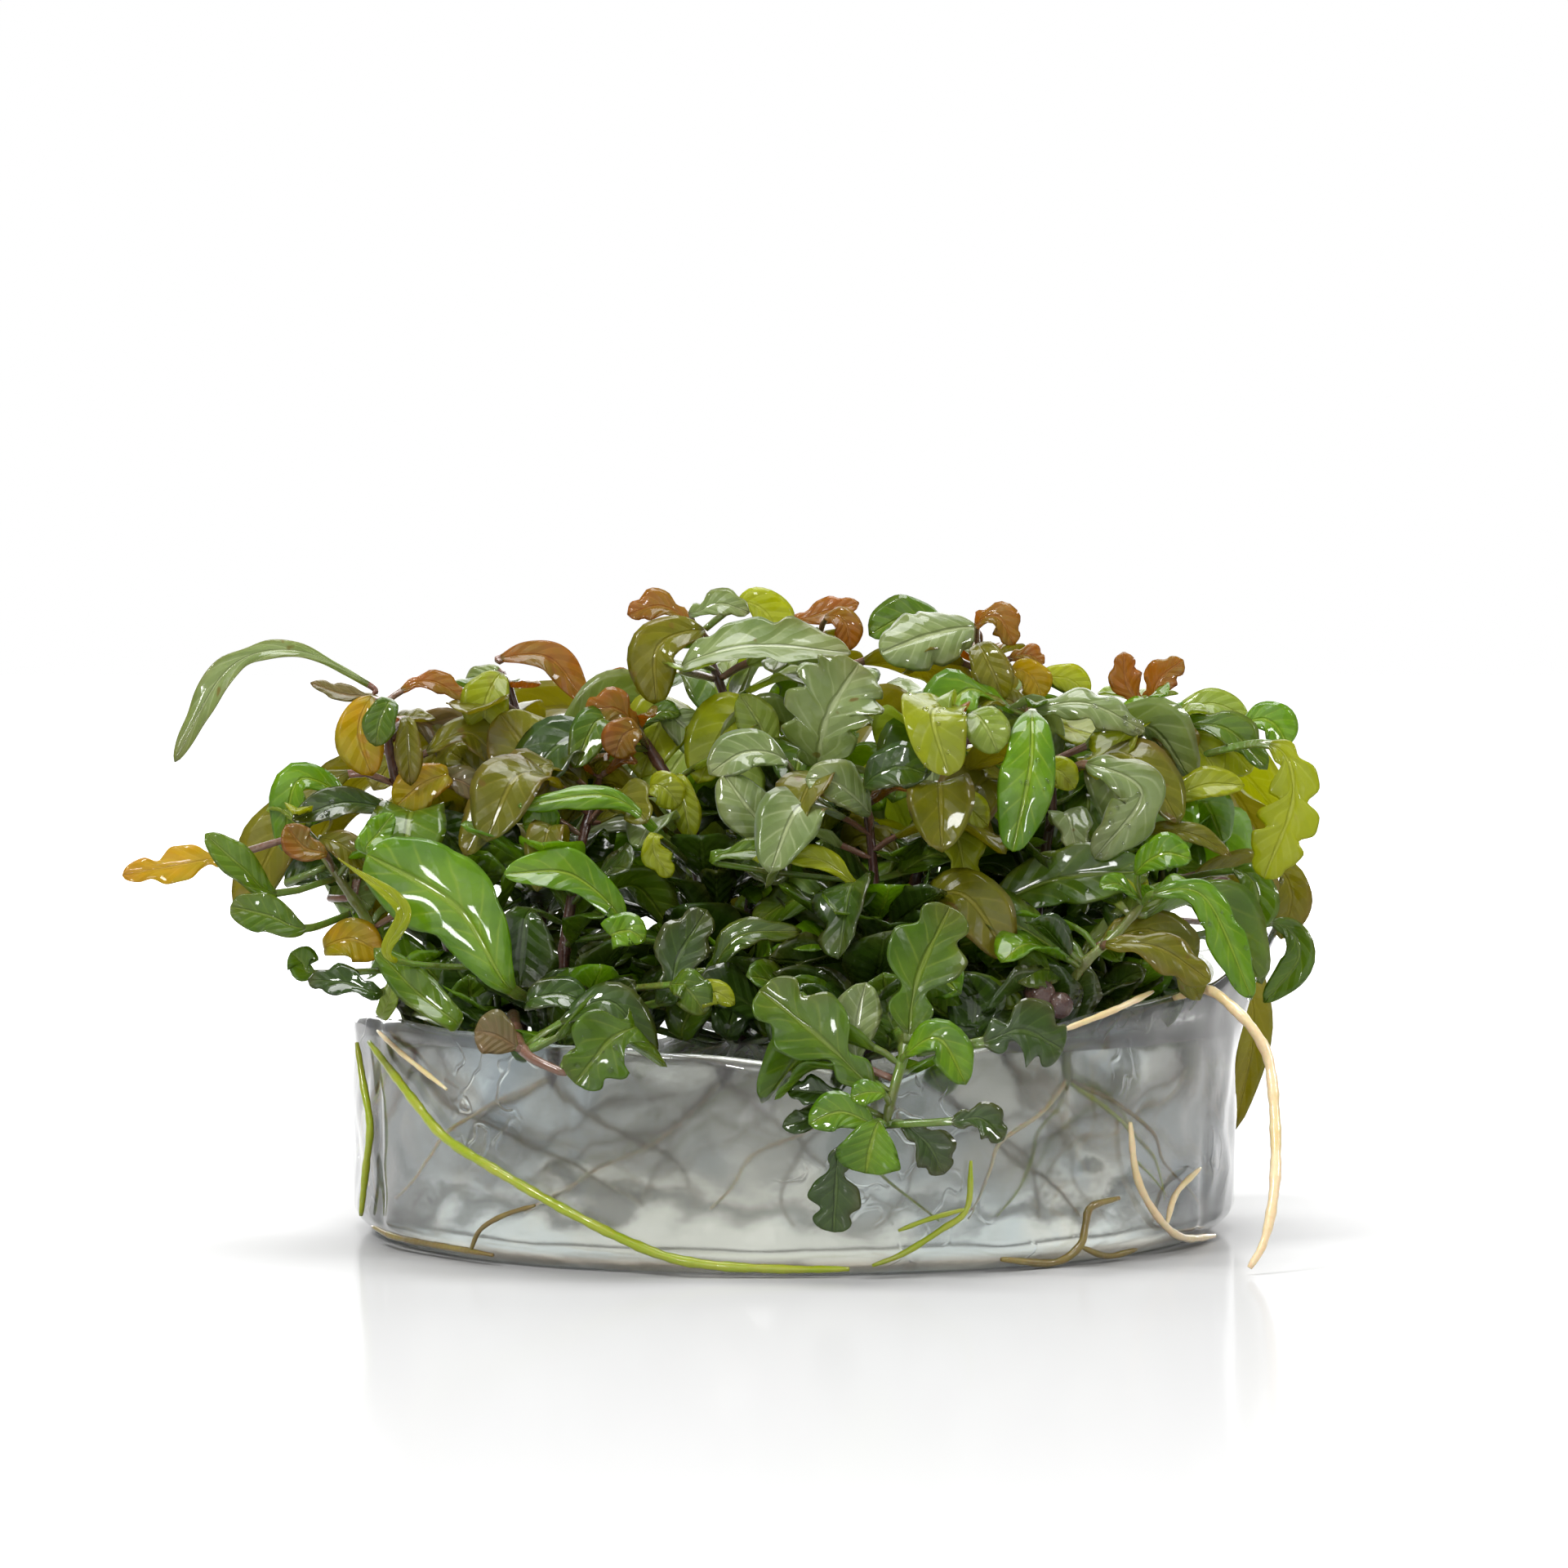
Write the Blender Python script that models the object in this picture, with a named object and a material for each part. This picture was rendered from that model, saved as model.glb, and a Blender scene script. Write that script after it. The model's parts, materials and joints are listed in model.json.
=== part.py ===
"""A portion of hygrophila: leafy shoots growing out of a round slab of clear nutrient gel.

The plan below is in millimetres, and mesh_object turns it into metres. The origin is the middle of the
slab's flat underside, +Z is up and the front faces -Y. Leaves and stems are given as the front view shows
them: across and down in that view, with the depth in millimetres as the third number.
"""

import math
from dataclasses import dataclass
from enum import Enum

import bmesh
import bpy
import numpy as np
from mathutils.bvhtree import BVHTree

MM = 0.001

# The slab of gel
GEL_RADIUS = 35.0
GEL_TOP = 16.0
GEL_SIDES = 36
FOOT_BEVEL = 2.2
WAVE = 0.35
LIP_ANGLE = 6.0
LIP_SPREAD = 24.0
LIP_FLARE = 4.6
LIP_START = 13.0
RIM_THICKNESS = 1.6
RIM_HEIGHTS = (
    (-180, 17.6), (-150, 18.0), (-125, 17.2), (-100, 16.5), (-88, 16.0), (-78, 14.3), (-69, 16.4),
    (-55, 18.4), (-40, 19.6), (-22, 20.6), (-6, 23.0), (6, 25.0), (20, 22.6), (45, 19.6), (90, 18.2),
    (135, 17.8), (180, 17.6),
)

# The front view: a point is at (across, down) on a square 1920 wide, seen from half a metre away
VIEW_MIDDLE = 960
VIEW_DISTANCE = 500.0
VIEW_PITCH = math.radians(2.0)
VIEW_CENTRE = (-0.5, 35.3)
SLAB_ACROSS = 1080
VIEW_SCALE = VIEW_DISTANCE * SLAB_ACROSS / (2 * GEL_RADIUS)

# Stems, leaf stalks, blades and roots
GAP = 0.35
SOCKET_DEPTH = 3.0
COLLAR = 0.6
STEM_FOOT = 0.62
STEM_TOP = 0.40
STEM_SIDES = 5
STEM_STEPS = 5
SOCKET_SIDES = 4
OVER_THE_RIM = ("sprig_stem", "runner")
CROWDED = ("shoot_left", "shoot_top")
STALK = 0.36
STALK_ROOT = 0.17
BLADE_HALF_THICKNESS = 0.34
ROOM = 0.22
ROOT_SIDES = 5
ROOT_STEP = 4.2
LOBES = 3
LOBE_CUT = 0.45
FUSED_SECTIONS = (0.0, 0.46, 1.0)
OVAL_SECTIONS = (0.0, 0.18, 0.42, 0.68, 0.90, 1.0)
LOBED_SECTIONS = (0.0, 0.17, 0.33, 0.50, 0.67, 0.83, 0.94, 1.0)
SPAN_STEPS = 16
DEPTH_STEP = 0.8
DEPTH_STEPS = 27
LEAF_SHARES = (1.0, 0.8, 0.6)
GOLDEN_TURN = math.radians(137.5)


class Form(Enum):
    """Outlines of a blade."""

    LANCE = "lance"
    OVAL = "oval"
    LOBED = "lobed"


LANCE, OVAL, LOBED = Form.LANCE, Form.OVAL, Form.LOBED


@dataclass
class Leaf:
    """A leaf: its blade from foot to tip as (across, down, depth), its width and its face.

    tilt is the angle of the upper side from straight up towards the viewer. A leaf with a name is a piece
    of its own, and one with none is fused to the shoot it grows from.
    """

    name: str
    path: tuple
    width: float
    tilt: float
    form: Form
    tint: str


@dataclass
class Shoot:
    """A stem from the gel up as (across, down, depth), with its colour and its count of inner leaves."""

    name: str
    tint: str
    inner: int
    path: tuple


@dataclass
class RearShoot:
    """A stem behind the others, from its foot (x, y) to its top (x, y, z), with its leaves in a spiral."""

    name: str
    foot: tuple
    top: tuple
    leaves: int
    turn: float


@dataclass
class Root:
    """A root pressed on the slab's wall, as (across, down) in the front view, and its radius."""

    name: str
    radius: float
    tint: str
    path: tuple
    branches: tuple = ()


TINTS = {
    "bright": (0.16, 0.42, 0.02),
    "green": (0.07, 0.20, 0.02),
    "dark": (0.015, 0.06, 0.015),
    "silver": (0.20, 0.32, 0.18),
    "yellow": (0.33, 0.40, 0.02),
    "olive": (0.16, 0.19, 0.02),
    "copper": (0.40, 0.11, 0.02),
    "amber": (0.58, 0.34, 0.02),
    "pink": (0.32, 0.17, 0.11),
    "red_brown": (0.09, 0.025, 0.02),
    "pale": (0.36, 0.48, 0.18),
    "root_green": (0.36, 0.42, 0.05),
    "root_cream": (0.80, 0.62, 0.42),
    "root_olive": (0.36, 0.28, 0.06),
    "callus": (0.13, 0.06, 0.06),
    "gel": (0.72, 0.78, 0.76),
}

SHOOTS = (
    Shoot("shoot_far_left", "pale", 1,
          ((505, 1232, -12), (462, 1150, -15), (415, 1075, -16), (372, 1012, -15))),
    Shoot("shoot_left", "red_brown", 2,
          ((560, 1232, -10), (545, 1120, -10), (530, 1050, -10), (492, 985, -10), (470, 862, -10))),
    Shoot("shoot_left_middle", "red_brown", 3,
          ((640, 1232, -2), (664, 1120, -3), (672, 1020, -4), (645, 915, -5), (617, 822, -5))),
    Shoot("shoot_left_front", "red_brown", 2,
          ((702, 1240, -20), (690, 1170, -20), (700, 1100, -19), (715, 1020, -16), (735, 950, -12))),
    Shoot("shoot_brown_fork", "red_brown", 2,
          ((905, 1240, -13), (878, 1120, -14), (842, 1040, -13), (822, 950, -11), (780, 893, -10))),
    Shoot("shoot_top", "red_brown", 3,
          ((912, 1235, -3), (918, 1110, -3), (928, 1030, -2), (910, 920, -2), (882, 851, -2),
           (858, 775, -2))),
    Shoot("shoot_middle", "red_brown", 3,
          ((950, 1235, -9), (960, 1120, -9), (972, 1050, -8), (1004, 945, -7), (1012, 850, -4),
           (1002, 780, -3))),
    Shoot("shoot_front_middle", "red_brown", 2,
          ((1060, 1250, -24), (1073, 1165, -23), (1069, 1059, -21), (1062, 985, -19))),
    Shoot("shoot_right_middle", "red_brown", 3,
          ((1098, 1245, -15), (1104, 1129, -16), (1136, 1039, -16), (1158, 950, -17), (1172, 885, -17))),
    Shoot("shoot_thick", "red_brown", 3,
          ((1176, 1235, -6), (1186, 1130, -6), (1200, 1020, -7), (1213, 920, -6), (1200, 812, -4))),
    Shoot("shoot_right", "red_brown", 3,
          ((1258, 1230, -14), (1268, 1130, -14), (1284, 1010, -13), (1290, 920, -12), (1268, 880, -12))),
    Shoot("shoot_pale", "pale", 3,
          ((1300, 1225, -3), (1302, 1112, -3), (1342, 1000, -4), (1390, 905, -4), (1402, 862, -3))),
    Shoot("shoot_far_right", "pale", 2,
          ((1395, 1205, -5), (1420, 1110, -6), (1432, 1000, -7), (1428, 890, -8))),
    Shoot("shoot_low_right", "pale", 1,
          ((1290, 1240, -23), (1310, 1200, -24), (1352, 1160, -25), (1400, 1105, -24))),
    Shoot("sprig_stem", "olive", 0,
          ((1100, 1262, -31), (1107, 1288, -36.5), (1093, 1340, -38.3), (1084, 1378, -38.6))),
    Shoot("runner", "pink", 0,
          ((628, 1240, -23), (633, 1268, -30), (645, 1290, -33.6), (668, 1309, -35.6), (694, 1316, -36))),
)

REAR_SHOOTS = (
    RearShoot("rear_shoot_left", (-20, 11), (-27, 17, 37), 7, 0.0),
    RearShoot("rear_shoot_left_middle", (-9, 17), (-12, 23, 42), 8, 1.1),
    RearShoot("rear_shoot_middle", (2, 9), (3, 11, 44), 7, 2.3),
    RearShoot("rear_shoot_right_middle", (12, 18), (15, 24, 41), 8, 0.7),
    RearShoot("rear_shoot_right", (23, 10), (30, 15, 36), 7, 2.9),
    RearShoot("rear_shoot_rim", (0, 27), (1, 32, 34), 7, 1.9),
)

LEAVES = {
    "sprig_stem": (
        Leaf("sprig_leaf_tall", ((1113, 1266, -37.5), (1124, 1196, -36.5), (1164, 1110, -34)),
             5.6, 80, LOBED, "green"),
        Leaf("sprig_leaf_left", ((1067, 1331, -38.5), (1005, 1272, -38), (930, 1212, -37)),
             5.6, 75, LOBED, "green"),
        Leaf("sprig_leaf_hanging", ((1030, 1408, -39), (1024, 1455, -38.5), (1021, 1509, -38)),
             3.9, 85, LOBED, "dark"),
        Leaf("", ((1076, 1374, -40), (1066, 1405, -40), (1060, 1437, -39.5)), 3.8, 80, OVAL, "bright"),
        Leaf("", ((1070, 1377, -39.5), (1030, 1362, -39.5), (990, 1376, -39.5)), 2.4, 70, OVAL, "bright"),
        Leaf("", ((1110, 1291, -38), (1150, 1272, -39), (1183, 1328, -39)), 2.6, 70, OVAL, "bright"),
        Leaf("", ((1082, 1340, -38.8), (1062, 1338, -39), (1042, 1345, -39)), 1.6, 70, OVAL, "bright"),
        Leaf("", ((1104, 1376, -38.6), (1135, 1400, -38.6), (1156, 1438, -38.3)), 3.0, 75, LOBED, "dark"),
        Leaf("", ((1166, 1373, -38.4), (1200, 1370, -38.4), (1229, 1396, -38.2)), 2.4, 75, LOBED, "dark"),
        Leaf("", ((1052, 1300, -36.8), (1050, 1255, -36.5), (1061, 1203, -36)), 2.9, 80, OVAL, "silver"),
        Leaf("", ((1033, 1344, -37.6), (1000, 1338, -37.4), (964, 1336, -37.2)), 2.2, 60, LOBED, "dark"),
        Leaf("", ((1012, 1360, -37.4), (985, 1372, -37.4), (958, 1380, -37.2)), 1.6, 60, OVAL, "dark"),
        Leaf("leaf_three_lobed", ((1205, 1276, -38), (1250, 1262, -38), (1302, 1286, -37)),
             4.8, 78, LOBED, "dark"),
    ),
    "shoot_left_front": (
        Leaf("leaf_big_green", ((626, 1212, -30), (560, 1112, -30), (449, 1046, -29)),
             6.6, 82, OVAL, "bright"),
        Leaf("leaf_yellow_curl", ((484, 1176, -33), (492, 1112, -34), (413, 1050, -33)),
             1.2, 60, LANCE, "yellow"),
        Leaf("leaf_front_lobed", ((776, 1256, -35), (745, 1276, -37), (704, 1327, -37.5)),
             5.4, 82, LOBED, "green"),
        Leaf("", ((650, 1115, -25), (640, 1160, -26), (636, 1212, -26)), 4.6, 80, OVAL, "dark"),
        Leaf("leaf_glossy_left", ((762, 1133, -26), (700, 1072, -27), (617, 1070, -28)),
             3.3, 50, OVAL, "bright"),
        Leaf("", ((646, 1228, -30), (684, 1218, -31), (724, 1232, -31)), 2.6, 50, OVAL, "dark"),
        Leaf("", ((682, 1026, -21), (664, 1008, -22), (640, 1010, -22)), 2.6, 60, OVAL, "bright"),
        Leaf("", ((806, 1228, -30), (832, 1170, -30), (866, 1114, -28)), 3.6, 80, LOBED, "dark"),
        Leaf("", ((822, 1206, -33), (842, 1212, -34), (864, 1242, -34)), 2.4, 70, OVAL, "green"),
    ),
    "shoot_far_left": (
        Leaf("", ((560, 1256, -27), (510, 1215, -27), (458, 1161, -26)), 2.4, 65, OVAL, "green"),
        Leaf("", ((466, 1216, -22), (424, 1204, -22), (377, 1200, -21)), 2.4, 55, LOBED, "dark"),
        Leaf("", ((468, 1245, -20), (476, 1225, -21), (480, 1200, -21)), 1.2, 70, LANCE, "pale"),
        Leaf("", ((398, 1160, -18), (430, 1150, -19), (467, 1168, -19)), 2.8, 70, OVAL, "copper"),
        Leaf("", ((404, 1100, -14), (430, 1096, -13), (456, 1112, -13)), 2.6, 70, OVAL, "silver"),
        Leaf("leaf_round_left", ((373, 1137, -20), (330, 1122, -20), (282, 1110, -20)),
             3.0, 70, OVAL, "green"),
        Leaf("", ((385, 1192, -14), (370, 1178, -14), (356, 1166, -14)), 2.0, 60, OVAL, "green"),
        Leaf("", ((338, 1094, -18), (296, 1062, -19), (251, 1021, -19)), 2.2, 60, OVAL, "green"),
        Leaf("", ((350, 1082, -15), (388, 1066, -14), (428, 1078, -13)), 2.8, 55, OVAL, "dark"),
        Leaf("leaf_far_left", ((292, 1045, -16), (230, 1058, -16), (148, 1072, -16)),
             2.9, 65, LOBED, "amber"),
        Leaf("", ((424, 984, -13), (366, 955, -14), (346, 1042, -14)), 2.4, 60, OVAL, "bright"),
        Leaf("", ((398, 1046, -19), (372, 1038, -19), (350, 1010, -19)), 2.2, 65, OVAL, "copper"),
        Leaf("", ((393, 1028, -17), (420, 1036, -18), (448, 1060, -18)), 2.0, 65, OVAL, "olive"),
    ),
    "shoot_left": (
        Leaf("leaf_dark_glossy", ((478, 992, -14), (420, 984, -16), (358, 1004, -17)),
             2.8, 50, OVAL, "dark"),
        Leaf("", ((452, 1046, -22), (464, 1020, -22), (482, 996, -22)), 1.8, 70, OVAL, "bright"),
        Leaf("leaf_left_arch", ((450, 838, -10), (362, 797, -12), (280, 820, -13), (214, 933, -14)),
             2.1, 60, LOBED, "silver"),
        Leaf("", ((455, 855, -13), (440, 895, -14), (456, 950, -14)), 3.0, 80, OVAL, "amber"),
        Leaf("", ((478, 858, -16), (466, 882, -17), (460, 914, -17)), 2.2, 80, OVAL, "green"),
        Leaf("", ((496, 880, -15), (500, 915, -16), (503, 962, -16)), 1.8, 75, OVAL, "olive"),
        Leaf("", ((507, 884, -7), (555, 905, -6), (608, 960, -6)), 4.4, 75, OVAL, "pink"),
        Leaf("", ((492, 846, -9), (525, 834, -9), (573, 856, -9)), 1.8, 60, LOBED, "copper"),
        Leaf("", ((462, 856, -7), (420, 850, -7), (380, 836, -7)), 1.5, 60, LOBED, "pink"),
        Leaf("", ((548, 950, -14), (520, 960, -15), (484, 988, -15)), 2.9, 75, OVAL, "amber"),
        Leaf("", ((530, 962, -18), (562, 956, -19), (598, 984, -19)), 2.0, 65, OVAL, "pink"),
        Leaf("", ((518, 1008, -14), (545, 1022, -14), (570, 1052, -14)), 3.6, 75, OVAL, "dark"),
    ),
    "runner": (
        Leaf("", ((632, 1282, -33.5), (606, 1268, -34), (581, 1262, -34)), 2.9, 75, OVAL, "pink"),
    ),
    "shoot_left_middle": (
        Leaf("", ((613, 826, -8), (596, 858, -10), (592, 898, -10)), 3.2, 80, OVAL, "yellow"),
        Leaf("leaf_brown_arch", ((613, 806, -4), (672, 806, -4), (718, 862, -4)), 2.6, 60, OVAL, "copper"),
        Leaf("", ((612, 822, -3), (590, 828, -3), (571, 845, -3)), 1.6, 50, OVAL, "silver"),
        Leaf("leaf_olive_left", ((712, 980, -12), (655, 930, -13), (612, 874, -12)),
             5.6, 80, OVAL, "olive"),
        Leaf("", ((642, 984, -9), (596, 955, -9), (548, 918, -8)), 3.4, 75, OVAL, "olive"),
        Leaf("", ((576, 996, -8), (596, 1020, -8), (624, 1056, -8)), 3.6, 75, OVAL, "dark"),
    ),
    "shoot_brown_fork": (
        Leaf("leaf_mid_arch", ((813, 1024, -20), (745, 975, -22), (634, 987, -23)),
             2.2, 60, LOBED, "bright"),
        Leaf("", ((780, 890, -12), (752, 868, -13), (716, 872, -13)), 2.8, 70, LOBED, "copper"),
        Leaf("", ((782, 894, -15), (764, 902, -16), (752, 928, -16)), 2.4, 75, OVAL, "copper"),
        Leaf("", ((798, 965, -16), (812, 964, -17), (832, 988, -17)), 2.2, 75, OVAL, "yellow"),
        Leaf("", ((829, 950, -19), (838, 985, -20), (846, 1028, -20)), 1.8, 80, OVAL, "yellow"),
        Leaf("", ((806, 1024, -25), (802, 1045, -26), (822, 1074, -26)), 2.0, 70, LOBED, "yellow"),
        Leaf("", ((756, 1149, -29), (770, 1140, -30), (790, 1152, -30)), 2.2, 75, OVAL, "bright"),
        Leaf("", ((870, 1206, -26), (902, 1148, -27), (982, 1140, -27)), 2.2, 60, LOBED, "green"),
        Leaf("", ((856, 1224, -32), (876, 1216, -33), (900, 1230, -33)), 1.8, 70, OVAL, "yellow"),
    ),
    "shoot_top": (
        Leaf("", ((844, 760, -3), (808, 742, -3), (768, 752, -3)), 2.6, 65, LOBED, "copper"),
        Leaf("", ((846, 748, -6), (880, 728, -7), (918, 738, -7)), 2.2, 55, LOBED, "silver"),
        Leaf("", ((905, 738, -1), (934, 744, -1), (956, 780, -1)), 3.0, 75, OVAL, "yellow"),
        Leaf("", ((860, 772, -7), (806, 792, -9), (804, 864, -9)), 3.2, 70, OVAL, "olive"),
        Leaf("leaf_top_silver", ((836, 816, -12), (920, 792, -13), (1042, 800, -13)),
             5.2, 38, LOBED, "silver"),
        Leaf("", ((826, 874, -9), (846, 896, -10), (880, 920, -10)), 2.8, 70, OVAL, "silver"),
    ),
    "shoot_middle": (
        Leaf("", ((966, 768, -1), (1002, 752, -1), (1052, 738, -1)), 2.0, 65, LOBED, "copper"),
        Leaf("", ((1012, 756, -5), (1034, 762, -6), (1042, 796, -6)), 2.0, 70, OVAL, "copper"),
        Leaf("leaf_centre_silver", ((1001, 941, -15), (1012, 880, -17), (1052, 812, -16)),
             7.4, 68, LOBED, "silver"),
        Leaf("", ((948, 928, -11), (930, 886, -12), (906, 850, -12)), 2.6, 75, OVAL, "pale"),
        Leaf("", ((962, 932, -16), (914, 922, -18), (868, 948, -19)), 3.4, 50, OVAL, "silver"),
        Leaf("leaf_silver_fold", ((954, 1028, -20), (918, 992, -22), (886, 948, -21)),
             4.0, 65, OVAL, "silver"),
    ),
    "shoot_front_middle": (
        Leaf("", ((1064, 996, -23), (1024, 960, -25), (986, 954, -25)), 3.2, 55, OVAL, "silver"),
        Leaf("", ((878, 1058, -24), (920, 1042, -24), (970, 1056, -24)), 1.8, 55, LOBED, "green"),
        Leaf("", ((1062, 1098, -26), (1000, 1052, -28), (921, 1052, -28)), 1.8, 55, LOBED, "yellow"),
        Leaf("", ((1060, 962, -24), (1098, 940, -25), (1136, 948, -25)), 3.2, 60, OVAL, "dark"),
    ),
    "shoot_thick": (
        Leaf("leaf_right_silver", ((1196, 770, -6), (1140, 778, -8), (1078, 800, -9)),
             5.2, 55, LOBED, "silver"),
        Leaf("", ((1150, 764, 0), (1110, 756, 0), (1064, 778, 0)), 3.0, 55, OVAL, "green"),
        Leaf("", ((1196, 766, -10), (1222, 756, -11), (1242, 790, -11)), 2.4, 70, LOBED, "copper"),
        Leaf("", ((1238, 806, -5), (1258, 802, -5), (1279, 812, -5)), 1.6, 70, LOBED, "copper"),
        Leaf("", ((1198, 790, -11), (1214, 820, -13), (1230, 858, -13)), 2.4, 75, OVAL, "olive"),
        Leaf("", ((1240, 820, -8), (1262, 828, -8), (1276, 856, -8)), 2.2, 75, OVAL, "amber"),
        Leaf("leaf_dark_wide", ((1200, 1120, -19), (1290, 1078, -21), (1408, 1066, -22)),
             4.8, 60, LOBED, "green"),
    ),
    "shoot_pale": (
        Leaf("", ((1284, 836, -6), (1308, 832, -6), (1334, 852, -6)), 2.2, 70, OVAL, "yellow"),
        Leaf("", ((1400, 872, -5), (1380, 838, -5), (1376, 798, -5)), 2.4, 75, LOBED, "copper"),
        Leaf("", ((1404, 870, -2), (1420, 832, -2), (1449, 808, -2)), 2.4, 75, LOBED, "copper"),
        Leaf("", ((1410, 892, -9), (1434, 900, -10), (1452, 936, -10)), 3.0, 70, OVAL, "olive"),
    ),
    "shoot_right_middle": (
        Leaf("leaf_pale_hanging", ((1172, 866, -20), (1142, 876, -27), (1162, 950, -29)),
             4.6, 55, OVAL, "yellow"),
        Leaf("", ((1190, 874, -22), (1208, 892, -24), (1222, 922, -24)), 2.6, 70, OVAL, "pale"),
        Leaf("", ((1148, 990, -21), (1178, 986, -22), (1210, 1012, -22)), 2.2, 65, OVAL, "yellow"),
    ),
    "shoot_right": (
        Leaf("leaf_long_hanging", ((1264, 872, -22), (1262, 940, -26), (1240, 1043, -27)),
             4.0, 78, OVAL, "bright"),
        Leaf("leaf_silver_arch", ((1262, 870, -16), (1330, 862, -17), (1402, 896, -17)),
             3.4, 48, LOBED, "silver"),
        Leaf("", ((1278, 948, -18), (1296, 944, -19), (1316, 966, -19)), 2.0, 75, OVAL, "yellow"),
        Leaf("leaf_grey_right", ((1332, 936, -20), (1398, 972, -22), (1340, 1052, -22)),
             4.0, 75, LOBED, "silver"),
    ),
    "shoot_far_right": (
        Leaf("", ((1436, 880, -4), (1482, 862, -4), (1530, 880, -4)), 2.2, 55, OVAL, "pale"),
        Leaf("", ((1440, 890, -9), (1500, 892, -10), (1552, 942, -10)), 2.8, 65, LOBED, "green"),
        Leaf("", ((1524, 884, -6), (1556, 884, -6), (1578, 914, -6)), 2.8, 65, OVAL, "bright"),
        Leaf("leaf_right_lobed", ((1556, 912, -12), (1584, 975, -13), (1548, 1076, -13)),
             4.6, 80, LOBED, "yellow"),
        Leaf("", ((1462, 908, -13), (1498, 912, -14), (1532, 946, -14)), 3.2, 70, OVAL, "yellow"),
        Leaf("", ((1430, 984, -12), (1474, 962, -13), (1524, 962, -13)), 2.2, 60, OVAL, "yellow"),
        Leaf("", ((1406, 1016, -17), (1460, 1022, -18), (1508, 1048, -18)), 1.6, 55, OVAL, "olive"),
        Leaf("", ((1512, 1066, -10), (1540, 1096, -11), (1532, 1144, -11)), 2.6, 70, OVAL, "green"),
        Leaf("", ((1570, 1064, 2), (1604, 1092, 2), (1592, 1150, 2)), 2.6, 70, OVAL, "olive"),
        Leaf("", ((1560, 1130, 8), (1600, 1168, 8), (1556, 1228, 8)), 2.2, 70, OVAL, "green"),
    ),
    "shoot_low_right": (
        Leaf("", ((1392, 1070, -25), (1424, 1046, -26), (1459, 1052, -26)), 2.6, 60, OVAL, "bright"),
        Leaf("", ((1330, 1160, -21), (1384, 1120, -21), (1434, 1080, -20)), 1.8, 65, OVAL, "pale"),
        Leaf("leaf_bright_drooping", ((1414, 1094, -27), (1476, 1100, -28), (1533, 1222, -28)),
             2.9, 70, OVAL, "bright"),
        Leaf("leaf_olive_low", ((1356, 1156, -29), (1416, 1160, -30), (1482, 1202, -30)),
             3.2, 65, LOBED, "olive"),
    ),
    "rear_shoot_right": (
        Leaf("", ((1486, 1130, 17), (1534, 1240, 25), (1512, 1384, 26)), 2.6, 70, OVAL, "olive"),
    ),
}

ROOTS = (
    Root("root_left_upright", 0.30, "root_green",
         ((437, 1277), (445, 1328), (453, 1379), (448, 1430), (442, 1488))),
    Root("root_left_straw", 0.20, "root_cream",
         ((462, 1262), (492, 1290), (547, 1334))),
    Root("root_diagonal", 0.38, "root_green",
         ((452, 1276), (484, 1318), (510, 1352), (545, 1393), (604, 1431), (706, 1489), (802, 1534),
          (870, 1549), (960, 1554), (1040, 1554))),
    Root("root_left_rim", 0.25, "root_olive",
         ((456, 1502), (489, 1516), (576, 1532), (604, 1537)),
         (((576, 1532), (588, 1506), (617, 1488), (655, 1476)),)),
    Root("root_front_branch", 0.24, "root_green",
         ((1068, 1550), (1106, 1535), (1152, 1506), (1184, 1480), (1189, 1421)),
         (((1184, 1480), (1140, 1492), (1100, 1507)),)),
    Root("root_lower_right", 0.30, "root_olive",
         ((1226, 1542), (1290, 1549), (1322, 1526), (1329, 1501), (1336, 1478), (1370, 1467)),
         (((1322, 1526), (1356, 1538), (1392, 1530)),)),
    Root("root_inner_cream", 0.30, "root_cream",
         ((1384, 1374), (1390, 1431), (1403, 1467), (1428, 1502), (1452, 1516), (1486, 1532)),
         (((1428, 1502), (1440, 1462), (1470, 1430)),)),
)

RIM_ROOT = ((1300, 1262, -29.0), (1366, 1236, -26.0), (1412, 1214, -23.0))
TRAILING_ROOT = (
    (1438, 1222, -18.5), (1478, 1212, -21.0), (1512, 1236, -23.5), (1538, 1266, -25.0), (1555, 1305, -26.0),
    (1562, 1389, -28.5), (1560, 1460, -31.0), (1548, 1520, -32.5), (1530, 1556, -33.0),
)
TRAILING_RADIUS = 0.42
RIM_ROOT_RADIUS = 0.25
CALLUS_KNOBS = ((1273, 1217, -27.2, 1.35), (1297, 1231, -27.2, 1.2))

# The top outline of the foliage behind the front leaves, as (x, height)
CANOPY = (
    (-43, 27), (-40, 34), (-32, 41), (-23, 44), (-17, 41), (-12, 46), (0, 48), (14, 47), (20, 44), (24, 40),
    (28, 43), (36, 39), (41, 33),
)
CANOPY_ROOM = 2.5
GROWN_WIDTH = 5.2
GROWN_LENGTH = 11.0
GROWN_SPREAD = 2.5
GROWN_DROOP = 0.42
GROWN_LEAN = 42
GROWN_STALK = 3.4
GROWN_RISE = 1.8
GROWN_ARCH = 0.8
GROWN_REACH = 0.86
GROWN_SHARES = (1.0, 0.8)
TURN_STEP = math.radians(14)
TURN_STEPS = 25
LOWEST_LEAF = 0.40
INNER_TURN = 1.6
DEEPEST = 41.0


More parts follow.
